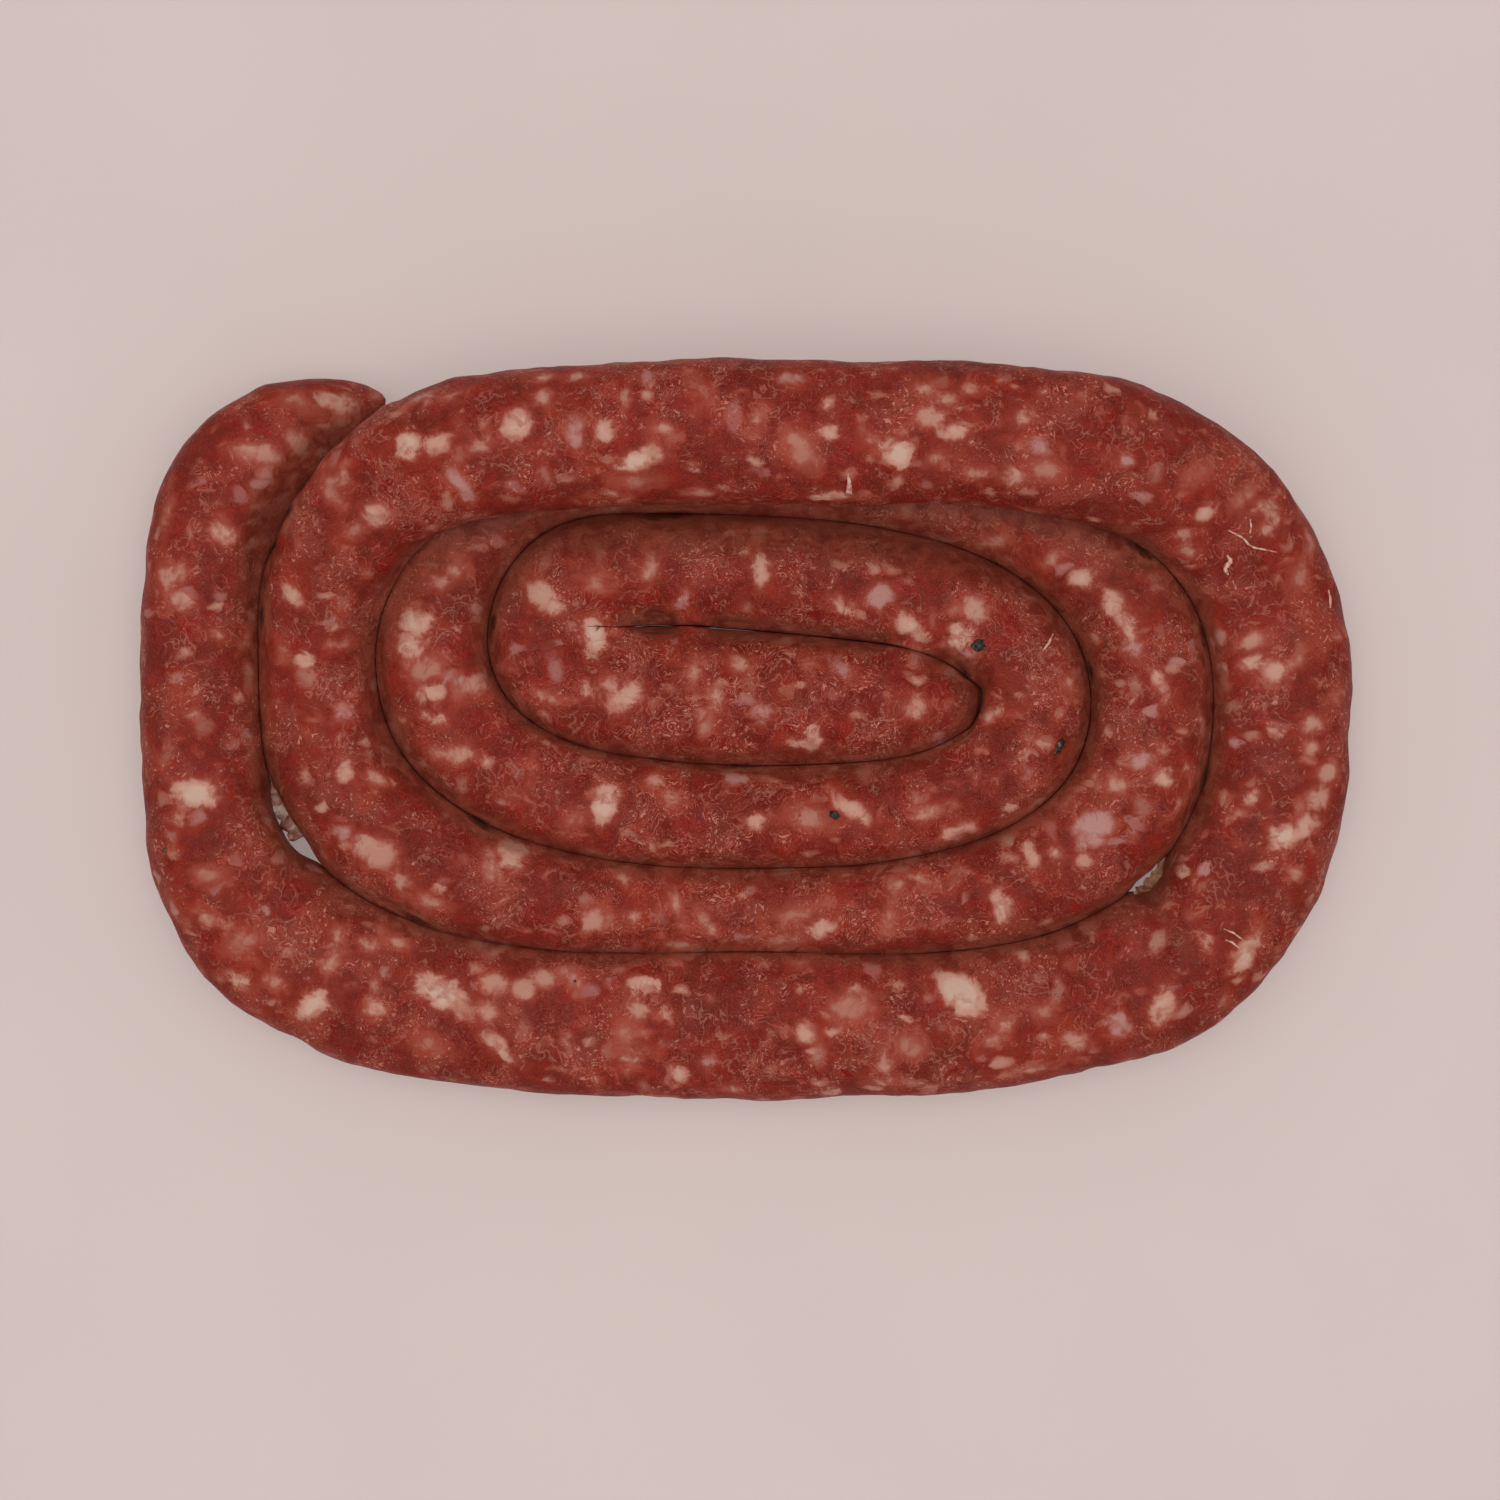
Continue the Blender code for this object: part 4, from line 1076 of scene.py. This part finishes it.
    def build(self) -> bpy.types.Object:
        """Make and dress the skin."""
        piece = self.copy_solid()
        self.round_off(piece)
        straight = self.clearance(piece, 8.0 * MM)
        self.close_slits(piece, straight)
        self.fill(piece)
        self.roughen(piece, straight)
        stain_and_shade = self.press(piece)
        fat, bluish = self.lay_fat(piece)
        # Painted shade: how sheltered each place is, deepened by the stain and painted shade of the pits and
        # creases.
        shade = np.maximum(self.sheltered(piece), 0.7 * stain_and_shade)
        unseen = 1.0 - ease_array(self.normals(piece)[:, 2], 0.05, 0.45)
        self.write_mark(piece, FAT_MARK, fat)
        self.write_mark(piece, PLACE_MARK, np.column_stack([shade, bluish, unseen]))
        piece.data.materials.clear()
        piece.data.materials.append(MeatFinish().material())
        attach(piece, BODY)
        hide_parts(CAD_NODE)
        return piece


@dataclass(frozen=True)
class FilmFinish:
    """Loose thin casing with streaks of meat behind it."""

    pale: Triple = (206, 178, 166)
    streak: Triple = (168, 108, 90)
    fold: Triple = (112, 62, 44)
    name: str = "loose_casing"

    def material(self) -> bpy.types.Material:
        """Wire the whole finish."""
        graph = Graph(self.name)
        bent = graph.warped(graph.millimetres(), 3.0, 1.5, 1.0)
        cloud, fold, _ = graph.split(graph.noise(bent, 2.2, 1.5, 0.6).outputs["Color"])
        fine = graph.noise(graph.vector("MULTIPLY", bent, (1.0, 0.3, 1.0)), 0.8, 1.0).outputs["Fac"]
        colour = graph.blend(graph.ease(cloud, 0.44, 0.6, 0.0, 0.8), srgb(*self.pale), srgb(*self.streak))
        colour = graph.blend(graph.ease(fold, 0.5, 0.64, 0.0, 0.8), colour, srgb(*self.fold))
        colour = graph.blend(graph.ease(fine, 0.5, 0.62, 0.0, 0.7), colour, srgb(*self.streak))
        return graph.finish(
            colour, graph.ease(fine, 0.3, 0.7, 0.35, 0.5), fine, 0.0001,
            Subsurface_Weight=0.3, Subsurface_Radius=(1.0, 0.6, 0.5), Subsurface_Scale=0.002,
            Specular_IOR_Level=0.3,
        )


@dataclass(frozen=True)
class ThreadFinish:
    """A pale thread of sinew or fat."""

    pale: Triple = (214, 172, 152)
    pink: Triple = (184, 112, 92)

    def material(self) -> bpy.types.Material:
        """Wire the whole finish."""
        graph = Graph("sinew_thread")
        cloud = graph.noise(graph.millimetres(), 0.9, 1.0).outputs["Fac"]
        colour = graph.blend(graph.ease(cloud, 0.4, 0.62), srgb(*self.pale), srgb(*self.pink))
        return graph.finish(colour, 0.5, cloud, 0.00005, Specular_IOR_Level=0.2)


@dataclass(frozen=True)
class PepperFinish:
    """Cracked black pepper with greenish skin."""

    skin: Triple = (56, 48, 36)
    dark: Triple = (24, 17, 13)
    pale: Triple = (128, 104, 78)

    def material(self) -> bpy.types.Material:
        """Wire the whole finish."""
        graph = Graph("cracked_pepper")
        cloud, crack, _ = graph.split(graph.noise(graph.millimetres(), 0.8, 1.5).outputs["Color"])
        colour = graph.blend(graph.ease(cloud, 0.4, 0.6), srgb(*self.skin), srgb(*self.dark))
        colour = graph.blend(graph.ease(crack, 0.58, 0.68, 0.0, 0.7), colour, srgb(*self.pale))
        return graph.finish(colour, 0.5, cloud, 0.0002, Specular_IOR_Level=0.3)


@dataclass(frozen=True)
class Ribbon:
    """A loose shred of casing or a thread lying on the rope or across a groove.

    Attributes:
        path: Places along and across the coil, in millimetres.
        widths: Width at each place, in millimetres.
        thickness: Thickness in millimetres.
        level: Height in millimetres at which it bridges a groove, or None where it lies on the rope.
        browned_and_shaded: Whether it takes the darker casing finish, tinted by the meat behind it and
            darkened further as painted shade for casing in a shadowed gap.
    """

    path: tuple[tuple[float, float], ...]
    widths: tuple[float, ...]
    thickness: float = 0.22
    level: float | None = None
    browned_and_shaded: bool = False


@dataclass(frozen=True)
class Chip:
    """A chip of pepper half sunk in the rope.

    Attributes:
        at: Place along and across the coil, in millimetres.
        length: Length in millimetres.
        width: Width in millimetres.
        turn: Turn of its length in degrees.
    """

    at: tuple[float, float]
    length: float
    width: float
    turn: float


@dataclass
class SmallPieces:
    """Loose casing, threads and pepper on the rope.

    Attributes:
        films: Loose casing across the open grooves, with the name of each.
        threads: Pale threads on the rope.
        chips: Cracked pepper.
    """

    films: tuple[tuple[str, Ribbon], ...] = (
        ("casing_film_left", Ribbon(((-90.4, -6.5), (-88.6, -11.0), (-86.8, -15.5), (-84.9, -19.6)),
                                    (3.0, 4.6, 4.8, 3.4), 0.2, 10.5)),
        ("casing_film_right", Ribbon(((71.0, -33.0), (75.5, -30.6), (78.8, -27.4), (80.2, -23.0)),
                                     (1.6, 3.4, 3.6, 1.6), 0.2, 10.0, True)),
    )
    threads: tuple[Ribbon, ...] = (
        Ribbon(((90.0, 38.2), (92.9, 36.9), (94.4, 35.2), (99.5, 34.3)), (0.2, 0.35, 0.4, 0.2)),
        Ribbon(((94.2, 40.3), (94.4, 39.0), (94.2, 37.7)), (0.2, 0.35, 0.2)),
        Ribbon(((110.0, 27.4), (110.3, 25.6), (110.2, 24.0)), (0.2, 0.45, 0.2)),
        Ribbon(((57.8, 19.1), (56.9, 17.2), (55.6, 15.7)), (0.25, 0.45, 0.2)),
        Ribbon(((90.0, 33.6), (90.9, 32.5), (89.6, 31.3), (90.4, 30.0)), (0.4, 0.8, 0.8, 0.3)),
        Ribbon(((19.0, 44.4), (19.1, 46.0), (18.8, 47.8)), (1.4, 0.8, 0.2)),
        Ribbon(((90.0, -36.5), (91.8, -37.2), (93.8, -38.7)), (0.2, 0.4, 0.2)),
        Ribbon(((90.4, -38.6), (91.6, -39.0), (93.0, -40.2)), (0.2, 0.4, 0.2)),
    )
    chips: tuple[Chip, ...] = (
        Chip((43.8, 16.9), 2.6, 2.2, 20.0),
        Chip((16.7, -15.0), 2.0, 1.5, -30.0),
        Chip((59.0, -1.9), 3.2, 1.5, 60.0),
        Chip((-32.2, -46.4), 0.7, 0.6, 0.0),
        Chip((-109.3, -21.6), 0.9, 0.7, 0.0),
    )

    def drop(self, tree: BVHTree, x: float, y: float) -> tuple[float, Vector]:
        """Find the rope under a place.

        Args:
            tree: Search tree of the rope.
            x: Place along the coil, in metres.
            y: Place across the coil, in metres.

        Returns:
            Height of the rope there, and its outward direction.
        """
        hit, normal, _, _ = tree.ray_cast(Vector((x, y, 0.1)), Vector((0.0, 0.0, -1.0)))
        return (0.0, Vector((0.0, 0.0, 1.0))) if hit is None else (hit.z, normal)

    def ribbon(self, tree: BVHTree, row: Ribbon, finish: bpy.types.Material) -> bpy.types.Object:
        """Make one ribbon or thread.

        Args:
            tree: Search tree of the rope.
            row: The ribbon.
            finish: Its material.

        Returns:
            The piece.
        """
        path = np.array(row.path)
        gone = np.concatenate([[0.0], np.cumsum(np.hypot(*np.diff(path, axis=0).T))])
        fine = np.linspace(0.0, gone[-1], 41)
        line = np.column_stack([np.interp(fine, gone, path[:, 0]), np.interp(fine, gone, path[:, 1])])
        for _ in range(12):
            line[1:-1] = 0.5 * line[1:-1] + 0.25 * (line[:-2] + line[2:])
        aim = np.gradient(line, axis=0)
        aim /= np.maximum(np.linalg.norm(aim, axis=1), 1e-9)[:, None]
        broad = np.interp(fine, gone, row.widths)
        steps = max(8, int(gone[-1] / 0.5))
        across = 6 if max(row.widths) > 1.0 else 2
        bpy.ops.object.select_all(action="DESELECT")
        bpy.ops.mesh.primitive_grid_add(x_subdivisions=steps, y_subdivisions=across, size=1.0)
        piece = bpy.context.active_object
        for corner in piece.data.vertices:
            share, side = (corner.co.x + 0.5) * 40.0, corner.co.y
            order = np.arange(41)
            spot = [float(np.interp(share, order, column)) for column in (*line.T, *aim.T, broad)]
            uneven = 1.0 + 0.16 * math.sin(share * 0.9 + 2.0 * side) + 0.1 * math.sin(share * 2.3)
            x = (spot[0] - spot[3] * side * spot[4] * uneven) * MM
            y = (spot[1] + spot[2] * side * spot[4] * uneven) * MM
            if row.level is None:
                z = self.drop(tree, x, y)[0] + 0.25 * row.thickness * MM
            else:
                wave = 0.5 * math.sin(share * 0.7) + 0.35 * math.sin(share * 0.33 + 9.0 * side)
                z = (row.level + wave + 1.6 * side) * MM
            corner.co = (x, y, z)
        modifier = piece.modifiers.new("thick", "SOLIDIFY")
        modifier.thickness = row.thickness * MM
        modifier.offset = 0.0
        bpy.ops.object.modifier_apply(modifier=modifier.name)
        return self.dress(piece, finish)

    def chip(self, tree: BVHTree, row: Chip, finish: bpy.types.Material) -> bpy.types.Object:
        """Make one chip of pepper.

        Args:
            tree: Search tree of the rope.
            row: The chip.
            finish: Its material.

        Returns:
            The piece.
        """
        bpy.ops.object.select_all(action="DESELECT")
        bpy.ops.mesh.primitive_ico_sphere_add(subdivisions=3, radius=1.0)
        piece = bpy.context.active_object
        height, normal = self.drop(tree, row.at[0] * MM, row.at[1] * MM)
        along = Vector((math.cos(math.radians(row.turn)), math.sin(math.radians(row.turn)), 0.0))
        along = (along - normal * along.dot(normal)).normalized()
        across = normal.cross(along)
        middle = Vector((row.at[0] * MM, row.at[1] * MM, height))
        for corner in piece.data.vertices:
            spot = corner.co.copy()
            knock = 1.0 + 0.14 * math.sin(5.0 * spot.x + 2.0 * spot.y)
            knock += 0.12 * math.sin(4.0 * spot.y - 3.0 * spot.z)
            corner.co = (
                middle + along * (spot.x * knock * 0.5 * row.length * MM)
                + across * (spot.y * knock * 0.5 * row.width * MM) + normal * (spot.z * 0.3 * row.width * MM)
            )
        return self.dress(piece, finish)

    def dress(self, piece: bpy.types.Object, finish: bpy.types.Material) -> bpy.types.Object:
        """Smooth a small part and give it its finish."""
        bpy.ops.object.shade_smooth()
        piece.data.materials.clear()
        piece.data.materials.append(finish)
        return piece

    def fix(self, name: str, parts: list[bpy.types.Object]) -> bpy.types.Object:
        """Join parts of one kind into one piece and fix it to the rope.

        Args:
            name: Name of the piece.
            parts: Its parts.

        Returns:
            The piece.
        """
        bpy.ops.object.select_all(action="DESELECT")
        for part in parts:
            part.select_set(True)
        piece = parts[0]
        bpy.context.view_layer.objects.active = piece
        if len(parts) > 1:
            bpy.ops.object.join()
        piece.name = name
        piece.data.name = name
        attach(piece, BODY)
        LOG.info("%s: %d parts, %d faces", name, len(parts), len(piece.data.polygons))
        return piece

    def build(self, tree: BVHTree) -> None:
        """Make all the small pieces."""
        film, thread, pepper = FilmFinish().material(), ThreadFinish().material(), PepperFinish().material()
        # A darker copy of the casing finish: tinted by the meat behind and darkened as painted shade for
        # casing lying in a shadowed gap.
        brown = FilmFinish((176, 122, 96), (132, 78, 56), (98, 50, 34), "browned_casing").material()
        for name, row in self.films:
            self.fix(name, [self.ribbon(tree, row, brown if row.browned_and_shaded else film)])
        self.fix("sinew_threads", [self.ribbon(tree, row, thread) for row in self.threads])
        self.fix("pepper_chips", [self.chip(tree, row, pepper) for row in self.chips])


@dataclass
class Studio:
    """Pale floor, soft light from all round and a camera looking straight down.

    Attributes:
        frame_width: Width seen at the height of the coil, in metres.
        distance: Height of the camera above the floor.
        aim: What the camera looks at, from the middle of the coil.
        focus_height: Height at which the frame width holds.
        floor_colour: Display colour of the floor.
        floor_glow: How much light the pale floor lets through from below.
        room: Strength of the light from all round.
    """

    frame_width: float = 0.285
    distance: float = 0.800
    aim: tuple[float, float] = (0.0008, -0.0028)
    focus_height: float = 0.012
    floor_colour: Triple = (177, 162, 158)
    floor_glow: float = 0.55
    room: float = 0.29

    def floor(self) -> bpy.types.Object:
        """Lay the floor just under the coil."""
        bpy.ops.object.select_all(action="DESELECT")
        bpy.ops.mesh.primitive_plane_add(size=9.0, location=(0.0, 0.0, -0.0002))
        floor = bpy.context.active_object
        floor.name = "floor"
        graph = Graph("pale_floor")
        place = graph.millimetres()
        cloud = graph.noise(place, 60.0, 2.0).outputs["Fac"]
        tint = srgb(*self.floor_colour)
        shade = tuple(value * 0.97 for value in tint[:3]) + (1.0,)
        colour = graph.blend(graph.ease(cloud, 0.3, 0.7), tint, shade)
        floor.data.materials.append(graph.finish(
            colour, 0.8, Specular_IOR_Level=0.2, Emission_Color=tint, Emission_Strength=self.floor_glow,
        ))
        return floor

    def area(self, name: str, place: Triple, size: float, watts: float) -> None:
        """Hang one soft light aimed at the coil.

        Args:
            name: Name of the light.
            place: Where it hangs, in metres.
            size: Side of its square, in metres.
            watts: Power.
        """
        bpy.ops.object.select_all(action="DESELECT")
        bpy.ops.object.light_add(type="AREA", location=place)
        lamp = bpy.context.active_object
        lamp.name = name
        lamp.data.size = size
        lamp.data.energy = watts
        lamp.rotation_euler = (Vector((0.0, 0.0, 0.0)) - Vector(place)).to_track_quat("-Z", "Y").to_euler()

    def lights(self) -> None:
        """Set the even overhead light."""
        self.area("overhead", (0.0, 0.0, 1.5), 1.2, 10.6)
        self.area("left_soft", (-1.1, 0.0, 0.8), 0.9, 2.3)
        self.area("right_soft", (1.1, 0.0, 0.8), 0.9, 2.3)
        self.area("front_soft", (0.0, -1.1, 0.8), 0.9, 2.3)
        self.area("back_soft", (0.0, 1.1, 0.8), 0.9, 2.3)
        world = bpy.data.worlds.new("soft_room")
        world.use_nodes = True
        world.node_tree.nodes["Background"].inputs["Color"].default_value = (1.0, 0.99, 0.98, 1.0)
        world.node_tree.nodes["Background"].inputs["Strength"].default_value = self.room
        bpy.context.scene.world = world

    def camera(self) -> None:
        """Point the camera straight down with the back of the coil at the top."""
        data = bpy.data.cameras.new("overhead_camera")
        camera = bpy.data.objects.new("overhead_camera", data)
        bpy.context.scene.collection.objects.link(camera)
        data.sensor_width = 36.0
        data.lens = 36.0 * (self.distance - self.focus_height) / self.frame_width
        data.clip_end = 20.0
        camera.location = (self.aim[0], self.aim[1], self.distance)
        camera.rotation_euler = (0.0, 0.0, 0.0)
        bpy.context.scene.camera = camera

    def build(self) -> None:
        """Set up the whole studio."""
        self.floor()
        self.lights()
        self.camera()
        bpy.context.scene.view_settings.view_transform = "Standard"


def main() -> None:
    """Build every piece in order."""
    logging.basicConfig(level=logging.INFO, format="%(name)s: %(message)s")
    rope = SausageSkin()
    skin = rope.build()
    LOG.info("skin has %d faces", len(skin.data.polygons))
    SmallPieces().build(rope.tree(skin))
    Studio().build()
    LOG.info("studio is set")


if __name__ == "__main__":
    main()
